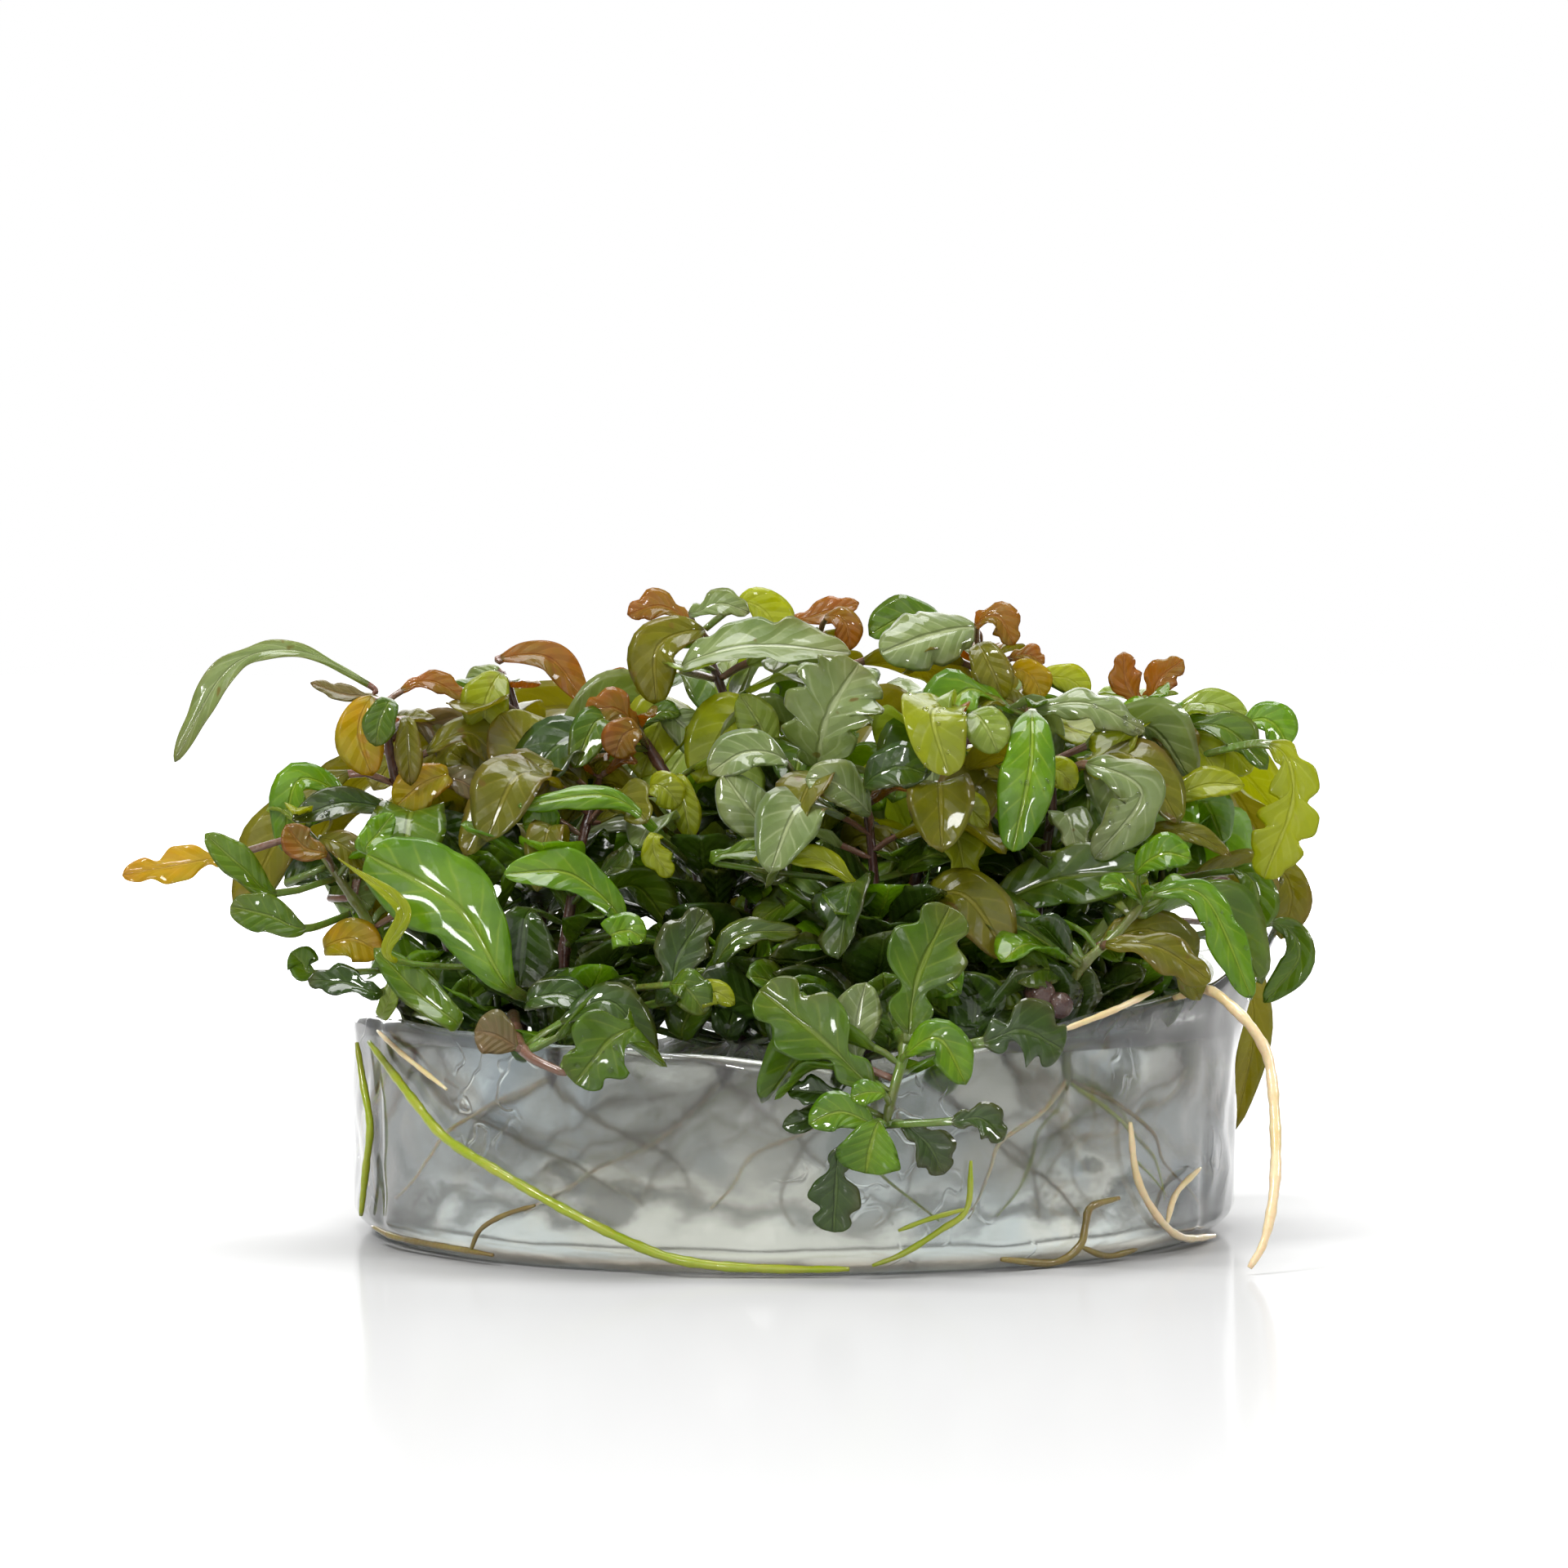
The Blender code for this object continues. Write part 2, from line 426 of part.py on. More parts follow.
def from_picture(across, down, depth):
    """The point of the front view at this depth, in millimetres."""
    rise = (VIEW_MIDDLE - down) / VIEW_SCALE
    sine, cosine = math.sin(VIEW_PITCH), math.cos(VIEW_PITCH)
    height = (rise * (VIEW_DISTANCE + depth * cosine) - depth * sine) / (cosine + rise * sine)
    distance = VIEW_DISTANCE + depth * cosine - height * sine
    x = VIEW_CENTRE[0] + (across - VIEW_MIDDLE) * distance / VIEW_SCALE
    return np.array([x, depth, VIEW_CENTRE[1] + height])


def unit(vector):
    """The vector at length one."""
    return vector / max(np.linalg.norm(vector), 1e-9)


def smooth_path(points):
    """A Catmull-Rom curve through the points, SPAN_STEPS steps between each two."""
    points = np.asarray(points, float)
    ends = np.vstack([2 * points[0] - points[1], points, 2 * points[-1] - points[-2]])
    curve = [points[0]]
    for start in range(1, len(ends) - 2):
        before, here, there, after = ends[start - 1:start + 3]
        for step in range(1, SPAN_STEPS + 1):
            t = step / SPAN_STEPS
            curve.append(0.5 * (
                2 * here + (there - before) * t + (2 * before - 5 * here + 4 * there - after) * t ** 2
                + (3 * here - before - 3 * there + after) * t ** 3
            ))
    return np.array(curve)


def evenly(curve, fractions):
    """Points of the curve at these fractions of its length."""
    steps = np.linalg.norm(np.diff(curve, axis=0), axis=1)
    along = np.concatenate([[0], np.cumsum(steps)]) / max(steps.sum(), 1e-9)
    return np.column_stack([np.interp(fractions, along, curve[:, axis]) for axis in range(3)])


def rim_height(angle):
    """Height of the slab's rim at an angle in degrees."""
    knots = np.array(RIM_HEIGHTS, float)
    return float(np.interp(angle, knots[:, 0], knots[:, 1]))


def wall_radius(angle, height):
    """Radius of the slab's wall at an angle in degrees and a height."""
    turn = math.radians(angle)
    radius = GEL_RADIUS + WAVE * (math.sin(3 * turn + 0.6) + 0.5 * math.sin(5 * turn + height / 6))
    radius -= FOOT_BEVEL * max(1 - height / FOOT_BEVEL, 0) ** 2
    rise = min(max((height - LIP_START) / (rim_height(LIP_ANGLE) - LIP_START), 0), 1)
    return radius + LIP_FLARE * rise ** 1.4 * math.exp(-((angle - LIP_ANGLE) / LIP_SPREAD) ** 2)


def mesh_object(name, points, faces, tint):
    """An object with its own material, its points given in millimetres."""
    mesh = bpy.data.meshes.new(name)
    mesh.from_pydata([tuple(point * MM) for point in np.asarray(points, float)], [], faces)
    edit = bmesh.new()
    edit.from_mesh(mesh)
    bmesh.ops.recalc_face_normals(edit, faces=edit.faces)
    edit.to_mesh(mesh)
    edit.free()
    mesh.shade_smooth()
    mesh.set_sharp_from_angle(angle=math.radians(50))
    part = bpy.data.objects.new(name, mesh)
    bpy.context.collection.objects.link(part)
    material = bpy.data.materials.new(name)
    material.use_nodes = True
    shader = material.node_tree.nodes["Principled BSDF"]
    shader.inputs["Base Color"].default_value = (*TINTS[tint], 1)
    shader.inputs["Roughness"].default_value = 0.15 if tint == "gel" else 0.4
    shader.inputs["Metallic"].default_value = 0.0
    mesh.materials.append(material)
    return part


def loft(rings):
    """Points and faces of a closed loft. A ring of one point closes an end in a tip."""
    points, starts, faces = [], [], []
    for ring in rings:
        starts.append(len(points))
        points.extend(ring)
    for (start, ring), (after, following) in zip(zip(starts, rings), zip(starts[1:], rings[1:])):
        count = max(len(ring), len(following))
        for side in range(count):
            turned = (side + 1) % count
            if len(following) == 1:
                faces.append((start + side, start + turned, after))
            elif len(ring) == 1:
                faces.append((start, after + turned, after + side))
            else:
                faces.append((start + side, start + turned, after + turned, after + side))
    if len(rings[0]) > 1:
        faces.append(tuple(reversed(range(len(rings[0])))))
    if len(rings[-1]) > 1:
        faces.append(tuple(starts[-1] + side for side in range(len(rings[-1]))))
    return np.array(points), faces


def frames(points, first_side):
    """Tangent, side and upward directions along a path, carried forward without twist."""
    tangents = np.gradient(points, axis=0)
    side = first_side
    found = []
    for tangent in tangents:
        tangent = unit(tangent)
        side = unit(side - tangent * side.dot(tangent))
        found.append((tangent, side, np.cross(side, tangent)))
    return found


def tube_rings(points, radii, sides):
    """Rings of a round tube along the points."""
    tangent = unit(points[1] - points[0])
    helper = np.array([1.0, 0.0, 0.0]) if abs(tangent[0]) < 0.8 else np.array([0.0, 1.0, 0.0])
    rings = []
    for point, radius, (_, side, up) in zip(points, radii, frames(points, helper)):
        turns = [2 * math.pi * step / sides for step in range(sides)]
        rings.append([point + radius * (side * math.cos(turn) + up * math.sin(turn)) for turn in turns])
    return rings


def outline(form, t):
    """Half width of a blade of width one, at a fraction of its length."""
    if form is LANCE:
        return 0.5 * math.sin(math.pi * t ** 0.9) ** 0.8
    widest = 0.5 * math.sin(math.pi * t ** 1.15) ** 0.75
    if form is OVAL:
        return widest
    return widest * (1 - LOBE_CUT * (0.5 - 0.5 * math.cos(2 * math.pi * LOBES * t)) * (1 - t) ** 0.4)


def blade_steps(leaf):
    """Fractions of the blade's length where it has a section."""
    if not leaf.name:
        return FUSED_SECTIONS
    return LOBED_SECTIONS if leaf.form is LOBED else OVAL_SECTIONS


def attach_point(stem, foot, is_own):
    """Where a stalk leaves its stem: below the foot of the blade, or off the skin for a piece of its own."""
    stem = evenly(stem, np.linspace(0, 1, 80))
    reach = np.linalg.norm(stem - foot, axis=1) + 0.35 * np.maximum(stem[:, 2] - foot[2] + 1.5, 0)
    nearest = stem[int(np.argmin(reach))]
    away = unit(foot - nearest)
    return nearest + away * (STEM_FOOT + GAP) if is_own else nearest - away * STALK_ROOT


def leaf_rings(leaf, stem, shift=0.0, room=0.0, shrink=1.0):
    """Sections of a leaf from its stem to its tip, moved back by shift and grown on all sides by room."""
    blade = [from_picture(across, down, depth + shift) for across, down, depth in leaf.path]
    return blade_rings(leaf, blade, stem, room, shrink)


def blade_rings(leaf, blade, stem, room, shrink):
    """Sections of a leaf whose blade follows these points."""
    start = attach_point(stem, blade[0], bool(leaf.name))
    curve = smooth_path([start, *blade])
    stalk = evenly(curve[:SPAN_STEPS + 1], (0.0, 0.55) if leaf.form is LOBED and leaf.name else (0.0,))
    steps = blade_steps(leaf)
    centres = np.vstack([stalk, evenly(curve[SPAN_STEPS:], steps)])
    halves = [STALK] * len(stalk)
    halves += [max(STALK, leaf.width * shrink * outline(leaf.form, t)) for t in steps]
    turn = math.radians(leaf.tilt)
    upward = np.array([0.0, -math.sin(turn), math.cos(turn)])
    first = unit(np.cross(unit(centres[1] - centres[0]), upward))
    rings = []
    for index, (_, side, up) in enumerate(frames(centres, first)):
        centre, half = centres[index], halves[index] + room
        if index == len(centres) - 1:
            rings.append([centre])
            continue
        thick = BLADE_HALF_THICKNESS + room
        ring = [centre - side * half, centre + up * thick, centre + side * half, centre - up * thick]
        rings.append(ring if leaf.name else ring[:3])
    return rings


class Space:
    """The room already taken, piece by piece, so that no two pieces touch."""

    def __init__(self):
        """An empty space."""
        self.taken = []

    def add(self, owner, points, faces):
        """Take the room of one closed form."""
        tree = BVHTree.FromPolygons([tuple(point) for point in points], faces)
        self.taken.append((owner, points.min(axis=0), points.max(axis=0), tree))

    def add_leaf(self, shoot, rings):
        """Take the room of a fused leaf: its stalk may meet its own shoot, and its blade nothing."""
        self.add(shoot, *loft(rings))
        self.add(shoot + " blades", *loft(rings[1:]))

    def is_clear(self, points, faces, ignoring=None):
        """Whether a form touches nothing but the pieces of the owner it ignores."""
        low, high = points.min(axis=0), points.max(axis=0)
        tree = None
        for owner, other_low, other_high, other in self.taken:
            if owner == ignoring or (low > other_high).any() or (high < other_low).any():
                continue
            tree = tree or BVHTree.FromPolygons([tuple(point) for point in points], faces)
            if tree.overlap(other):
                return False
        return True


def gel_rings():
    """Rings of the slab from the middle of its flat underside to the middle of its top."""
    angles = [360.0 * step / GEL_SIDES - 180.0 for step in range(GEL_SIDES)]

    def ring(radius, height):
        turns = [math.radians(a) for a in angles]
        return [
            np.array([radius(a) * math.cos(turn), radius(a) * math.sin(turn), height(a)])
            for a, turn in zip(angles, turns)
        ]

    rings = [[np.zeros(3)], ring(lambda a: wall_radius(a, 0.0), lambda a: 0.0)]
    for part in (0.04, 0.12, 0.5, 1.0):
        rings.append(ring(
            lambda a, part=part: wall_radius(a, rim_height(a) * part) - (0.35 if part == 1.0 else 0.0),
            lambda a, part=part: rim_height(a) * part,
        ))
    rings.append(ring(
        lambda a: wall_radius(a, rim_height(a)) - RIM_THICKNESS,
        lambda a: rim_height(a) - 0.15,
    ))
    rings.append(ring(
        lambda a: min(wall_radius(a, rim_height(a)) - RIM_THICKNESS - 0.8, GEL_RADIUS - 1.8),
        lambda a: min(GEL_TOP, rim_height(a) - 0.6),
    ))
    rings.append([np.array([0.0, 0.0, GEL_TOP])])
    return rings


def union_with(part, name, points, faces, tint):
    """Fuse closed forms, given together, to a part."""
    extra = mesh_object(name, points, faces, tint)
    extra.hide_render = True
    extra.display_type = "WIRE"
    union = part.modifiers.new("Fuse " + name, "BOOLEAN")
    union.operation = "UNION"
    if part.name in CROWDED:
        union.solver = "MANIFOLD"
    union.object = extra


def gathered(forms):
    """Several closed forms as one list of points and one of faces."""
    points, faces = [], []
    for form_points, form_faces in forms:
        faces.extend([tuple(index + len(points) for index in face) for face in form_faces])
        points.extend(form_points)
    return np.array(points), faces


def stem_points(shoot):
    """The stem of a shoot: upright in its socket, then along its path."""
    path = [from_picture(*point) for point in shoot.path]
    base = path[0].copy()
    if shoot.name in OVER_THE_RIM:
        return evenly(smooth_path(path), np.linspace(0, 1, STEM_STEPS))
    base[2] = GEL_TOP + COLLAR
    foot = base - np.array([0.0, 0.0, SOCKET_DEPTH + COLLAR])
    return np.vstack([foot, evenly(smooth_path([base, *path[1:]]), np.linspace(0, 1, STEM_STEPS))])


def rear_stem_points(shoot):
    """The stem of a rear shoot: upright in its socket, then leaning outwards."""
    foot = np.array([*shoot.foot, GEL_TOP - SOCKET_DEPTH])
    base = foot + np.array([0.0, 0.0, SOCKET_DEPTH + COLLAR])
    top = np.array(shoot.top, float)
    middle = (base + top) / 2 + np.array([-0.15 * (top[0] - base[0]), -0.15 * (top[1] - base[1]), 1.0])
    return np.vstack([foot, evenly(smooth_path([base, middle, top]), np.linspace(0, 1, STEM_STEPS))])


def stem_form(points):
    """A tapering stem along its points."""
    return loft(tube_rings(points, np.linspace(STEM_FOOT, STEM_TOP, len(points)), STEM_SIDES))


def to_and_fro(step):
    """0, 1, -1, 2, -2 and so on."""
    return (step + 1) // 2 * (1 if step % 2 else -1)


def settle_leaf(leaf, shoot, stem, space):
    """The nearest clear place of a leaf at the spot the front view gives it, or None."""
    for shrink in LEAF_SHARES:
        for step in range(DEPTH_STEPS):
            shift = to_and_fro(step) * DEPTH_STEP
            points, faces = loft(leaf_rings(leaf, stem, shift, ROOM, shrink))
            if space.is_clear(points, faces, None if leaf.name else shoot):
                return leaf_rings(leaf, stem, shift, 0.0, shrink)
    print("No clear place:", leaf.name or leaf.path[0])
    return None


def canopy_height(x):
    """Highest point that a leaf behind may reach."""
    knots = np.array(CANOPY, float)
    return float(np.interp(x, knots[:, 0], knots[:, 1])) - CANOPY_ROOM


def grown_blade(stem, leaves, first_turn, number, turn):
    """Points of a spiral leaf's blade, outwards and drooping from its stem."""
    share = LOWEST_LEAF + (1 - LOWEST_LEAF) * (number + 0.5) / leaves
    start = evenly(stem[1:], [share])[0]
    angle = first_turn + number * GOLDEN_TURN + turn
    outward = np.array([math.cos(angle), math.sin(angle), 0.0])
    length = GROWN_LENGTH + GROWN_SPREAD * math.sin(2.1 * number + first_turn)
    foot = start + outward * GROWN_STALK + np.array([0.0, 0.0, GROWN_RISE])
    middle = foot + outward * length * 0.5 + np.array([0.0, 0.0, GROWN_ARCH])
    tip = foot + outward * length * GROWN_REACH + np.array([0.0, 0.0, -GROWN_DROOP * length])
    blade = [foot, middle, tip]
    for point in blade:
        point[2] = min(point[2], canopy_height(point[0]))
    return blade


def settle_grown_leaf(name, stem, leaves, first_turn, number, space):
    """The first clear turn of a spiral leaf about its stem, or None."""
    lean = GROWN_LEAN if number % 2 else -GROWN_LEAN
    leaf = Leaf("", (), GROWN_WIDTH, lean, OVAL, "green")
    for shrink in GROWN_SHARES:
        for step in range(TURN_STEPS):
            blade = grown_blade(stem, leaves, first_turn, number, to_and_fro(step) * TURN_STEP)
            points, faces = loft(blade_rings(leaf, blade, stem, ROOM, shrink))
            if abs(points[:, 1]).max() < DEEPEST and space.is_clear(points, faces, name):
                return blade_rings(leaf, blade, stem, 0.0, shrink)
    return None


def wall_reach(angle, height, radius):
    """Distance from the slab's axis to the middle of a root that lies on its wall, an angle in degrees."""
    slope = 2 * max(1 - height / FOOT_BEVEL, 0)
    return wall_radius(angle, height) + (GAP + radius) * math.hypot(1, slope)


def on_wall(across, down, radius):
    """A root's middle where the front view shows it on the slab's wall."""
    depth = -GEL_RADIUS
    for _ in range(12):
        point = from_picture(across, down, depth)
        angle = math.degrees(math.atan2(depth, point[0]))
        reach = wall_reach(angle, max(point[2], radius), radius)
        depth = -math.sqrt(max(reach ** 2 - point[0] ** 2, 9.0))
    height = max(from_picture(across, down, depth)[2], radius + 0.06)
    angle = math.atan2(depth, point[0])
    reach = wall_reach(math.degrees(angle), height, radius)
    return np.array([reach * math.cos(angle), reach * math.sin(angle), height])


def root_form(points, radius, taper=0.75):
    """A root along its points, thinner at its ends."""
    curve = smooth_path(points)
    length = np.linalg.norm(np.diff(curve, axis=0), axis=1).sum()
    count = max(2 * len(points) - 1, round(length / ROOT_STEP))
    path = evenly(curve, np.linspace(0, 1, count))
    radii = radius * (1 - (1 - taper) * np.abs(np.linspace(-1, 1, count)) ** 3)
    return loft(tube_rings(path, radii, ROOT_SIDES))


def build_gel(stems):
    """The slab, with a socket for the foot of each stem."""
    points, faces = loft(gel_rings())
    slab = mesh_object("gel_slab", points, faces, "gel")
    forms = []
    for stem in stems:
        low = np.array([stem[0][0], stem[0][1], GEL_TOP - SOCKET_DEPTH - GAP])
        high = np.array([stem[0][0], stem[0][1], GEL_TOP + 4.0])
        radius = (STEM_FOOT + GAP) / math.cos(math.pi / SOCKET_SIDES)
        forms.append(loft(tube_rings(np.array([low, high]), [radius, radius], SOCKET_SIDES)))
    cutter = mesh_object("socket_cutter", *gathered(forms), "gel")
    cutter.hide_render = True
    cutter.display_type = "WIRE"
    cut = slab.modifiers.new("Sockets", "BOOLEAN")
    cut.operation = "DIFFERENCE"
    cut.object = cutter
    return points, faces


def build_roots(space):
    """The roots on the wall, the one along the rim and the one that trails to the table."""
    for root in ROOTS:
        main = root_form([on_wall(across, down, root.radius) for across, down in root.path], root.radius)
        part = mesh_object(root.name, *main, root.tint)
        space.add(root.name, *main)
        for number, branch in enumerate(root.branches):
            points = [on_wall(across, down, root.radius) for across, down in branch]
            form = root_form(points, root.radius * 0.8)
            union_with(part, f"{root.name}_branch_{number}", *form, root.tint)
            space.add(root.name, *form)
    rim = [from_picture(*point) for point in RIM_ROOT]
    trailing = [from_picture(*point) for point in TRAILING_ROOT]
    trailing[-1][2] = TRAILING_RADIUS + 0.05
    free = (("root_rim", rim, RIM_ROOT_RADIUS), ("root_trailing", trailing, TRAILING_RADIUS))
    for name, path, radius in free:
        form = root_form(path, radius)
        mesh_object(name, *form, "root_cream")
        space.add(name, *form)


def build_callus(space):
    """Two round knobs of callus grown together."""
    forms = []
    for across, down, depth, radius in CALLUS_KNOBS:
        centre = from_picture(across, down, depth)
        heights = np.linspace(-0.92, 0.92, 5)
        path = np.array([centre + np.array([0, 0, radius * height]) for height in heights])
        forms.append(loft(tube_rings(path, radius * np.sqrt(1 - heights ** 2), 8)))
    knob = mesh_object("callus", *forms[0], "callus")
    union_with(knob, "callus_second_knob", *forms[1], "callus")
    for form in forms:
        space.add("callus", *form)


def build():
    """Every piece: the slab, its roots and callus, then stems, leaves of their own and fused leaves."""
    for old in list(bpy.data.objects):
        bpy.data.objects.remove(old)
    space = Space()
    stems = {shoot.name: stem_points(shoot) for shoot in SHOOTS}
    stems.update({shoot.name: rear_stem_points(shoot) for shoot in REAR_SHOOTS})
    tints = {shoot.name: shoot.tint for shoot in SHOOTS}
    socketed = [stem for name, stem in stems.items() if name not in OVER_THE_RIM]
    space.add("gel_slab", *build_gel(socketed))
    build_roots(space)
    build_callus(space)
    parts = {}
    for name, stem in stems.items():
        form = stem_form(stem)
        parts[name] = mesh_object(name, *form, tints.get(name, "red_brown"))
        space.add(name, *form)
    fused = {name: [] for name in stems}
    planned = [(leaf, shoot) for shoot, leaves in LEAVES.items() for leaf in leaves]
    for leaf, shoot in sorted(planned, key=lambda pair: not pair[0].name):
        rings = settle_leaf(leaf, shoot, stems[shoot], space)
        if rings is None:
            continue
        if leaf.name:
            space.add(leaf.name, *loft(rings))
            mesh_object(leaf.name, *loft(rings), leaf.tint)
        else:
            space.add_leaf(shoot, rings)
            fused[shoot].append(loft(rings))
    spirals = [(shoot.name, shoot.leaves, shoot.turn) for shoot in REAR_SHOOTS]
    spirals += [(shoot.name, shoot.inner, INNER_TURN) for shoot in SHOOTS]
    for name, leaves, first_turn in spirals:
        for number in range(leaves):
            rings = settle_grown_leaf(name, stems[name], leaves, first_turn, number, space)
            if rings is not None:
                space.add_leaf(name, rings)
                fused[name].append(loft(rings))
    for name, forms in fused.items():
        for number, form in enumerate(forms):
            union_with(parts[name], f"{name}_leaf_{number}", *form, tints.get(name, "green"))


build()
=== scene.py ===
"""The looks of a portion of hygrophila: wet lobed leaves, stems and roots on a round slab of clear gel.

Sizes are in millimetres and become metres when a mesh is made. The origin is the middle of the slab's flat
underside, +Z is up and the front faces -Y. Leaves, stems and roots start from the plan that the solids
follow, as (across, down) in the front view with the depth as the third number.
"""

import json
import logging
import math
from collections.abc import Iterable
from dataclasses import dataclass, field
from enum import Enum

import bpy
import numpy as np
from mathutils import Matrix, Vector
from mathutils.kdtree import KDTree


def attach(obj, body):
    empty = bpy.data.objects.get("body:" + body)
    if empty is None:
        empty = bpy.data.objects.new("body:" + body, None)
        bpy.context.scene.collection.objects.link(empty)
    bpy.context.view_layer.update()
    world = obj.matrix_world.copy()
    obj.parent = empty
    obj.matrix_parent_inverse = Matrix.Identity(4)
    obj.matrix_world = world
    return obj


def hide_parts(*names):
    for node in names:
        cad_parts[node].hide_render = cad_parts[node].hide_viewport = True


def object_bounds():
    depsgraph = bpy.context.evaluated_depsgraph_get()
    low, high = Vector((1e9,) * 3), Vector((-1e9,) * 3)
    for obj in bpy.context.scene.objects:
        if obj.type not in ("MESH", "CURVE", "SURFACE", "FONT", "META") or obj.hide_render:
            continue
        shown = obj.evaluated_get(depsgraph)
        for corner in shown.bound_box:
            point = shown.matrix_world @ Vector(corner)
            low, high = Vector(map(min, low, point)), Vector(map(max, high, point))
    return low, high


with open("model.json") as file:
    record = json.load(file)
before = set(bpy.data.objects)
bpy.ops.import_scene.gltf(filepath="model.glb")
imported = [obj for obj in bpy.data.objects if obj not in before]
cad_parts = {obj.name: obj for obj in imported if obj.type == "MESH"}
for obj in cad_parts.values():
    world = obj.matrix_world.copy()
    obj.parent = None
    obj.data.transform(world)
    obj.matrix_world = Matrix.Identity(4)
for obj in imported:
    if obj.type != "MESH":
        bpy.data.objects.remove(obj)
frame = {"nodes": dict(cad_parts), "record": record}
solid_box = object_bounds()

Array = np.ndarray
Random = np.random.Generator
Socket = bpy.types.NodeSocket
Colour = tuple[float, float, float]
Point = tuple[float, ...]
Span = tuple[float, float]
Faces = list[tuple[int, ...]]

MM = 0.001
LOG = logging.getLogger("hygrophila")

# The slab of gel
GEL_RADIUS = 35.0
GEL_TOP = 16.0
FOOT_BEVEL = 2.2
WAVE = 0.35
LIP_ANGLE = 6.0
LIP_SPREAD = 24.0
LIP_FLARE = 4.6
LIP_START = 13.0
RIM_THICKNESS = 1.6
RIM_HEIGHTS = (
    (-180, 17.6), (-150, 18.0), (-125, 17.2), (-100, 16.5), (-88, 16.0), (-78, 14.3), (-69, 16.4),
    (-55, 18.4), (-40, 19.6), (-22, 20.6), (-6, 23.0), (6, 25.0), (20, 22.6), (45, 19.6), (90, 18.2),
    (135, 17.8), (180, 17.6),
)

# The front view: a point is at (across, down) on a square 1920 wide, seen from half a metre away
VIEW_WIDE = 1920
VIEW_MIDDLE = 960
VIEW_DISTANCE = 500.0
VIEW_PITCH = math.radians(2.0)
VIEW_CENTRE = (-0.5, 35.3)
SLAB_ACROSS = 1080
VIEW_SCALE = VIEW_DISTANCE * SLAB_ACROSS / (2 * GEL_RADIUS)
SENSOR = 36.0

# How leaves, stems and roots are set out
GAP = 0.35
SOCKET_DEPTH = 3.0
COLLAR = 0.6
STEM_FOOT = 0.62
STEM_TOP = 0.40
STEM_STEPS = 5
OVER_THE_RIM = ("sprig_stem", "runner")
STALK_ROOT = 0.17
SPAN_STEPS = 16
DEPTH_STEP = 0.8
DEPTH_STEPS = 27
GOLDEN_TURN = math.radians(137.5)
MATCH = 0.03
BLADE_MAP = "Blade"
COLOUR_SOCKET = "NodeSocketColor"
VALUE_SOCKET = "NodeSocketFloat"
BOX_ROOM = 0.10
# Stems whose feet stand before this line have leaves along the rim
RIM_LEAF_LINE = -4.0
# How much wider than in the plan a leaf is drawn
FULLER_LOBED = 1.12
FULLER_PLAIN = 1.22
FULLER_LARGE = 1.04
# How deep the relief of a skin and the ripples of the gel are, in metres
SKIN_RELIEF = 0.0002
RIPPLE_RELIEF = 0.0012


class Form(Enum):
    """Outlines of a blade."""

    PLAIN = "plain"
    LOBED = "lobed"


class Tint(Enum):
    """Colours that a stem, leaf or root can have."""

    BRIGHT = "bright"
    GREEN = "green"
    # Dark green for dark leaves, and painted shade where it is given to leaves low in the foliage
    DARK = "dark"
    # Pale grey-green that paints the sheen of the top light on upturned leaves
    SILVER = "silver"
    YELLOW = "yellow"
    OLIVE = "olive"
    COPPER = "copper"
    AMBER = "amber"
    PINK = "pink"
    RED_BROWN = "red_brown"
    PALE = "pale"
    ROOT_GREEN = "root_green"
    ROOT_CREAM = "root_cream"
    ROOT_OLIVE = "root_olive"


PLAIN, LOBED = Form
(BRIGHT, GREEN, DARK, SILVER, YELLOW, OLIVE, COPPER, AMBER, PINK, RED_BROWN, PALE,
 ROOT_GREEN, ROOT_CREAM, ROOT_OLIVE) = Tint


@dataclass(frozen=True)
class Leaf:
    """A leaf of the plan: its blade from foot to tip as (across, down, depth), its width and its face.

    A leaf with a name is a piece of its own.
    """

    path: tuple[Point, ...]
    width: float
    tilt: float
    tint: Tint
    form: Form = PLAIN
    name: str = ""


@dataclass(frozen=True)
class Shoot:
    """A stem of the plan, from the gel up as (across, down, depth)."""

    name: str
    tint: Tint
    inner: int
    path: tuple[Point, ...]


@dataclass(frozen=True)
class RearShoot:
    """A stem behind the others, from its foot (x, y) to its top (x, y, z)."""

    name: str
    foot: Point
    top: Point
    leaves: int
    turn: float


@dataclass(frozen=True)
class Root:
    """A root on the slab's wall, as (across, down) in the front view, and its radius."""

    name: str
    radius: float
    tint: Tint
    path: tuple[Point, ...]
    branches: tuple[tuple[Point, ...], ...] = ()


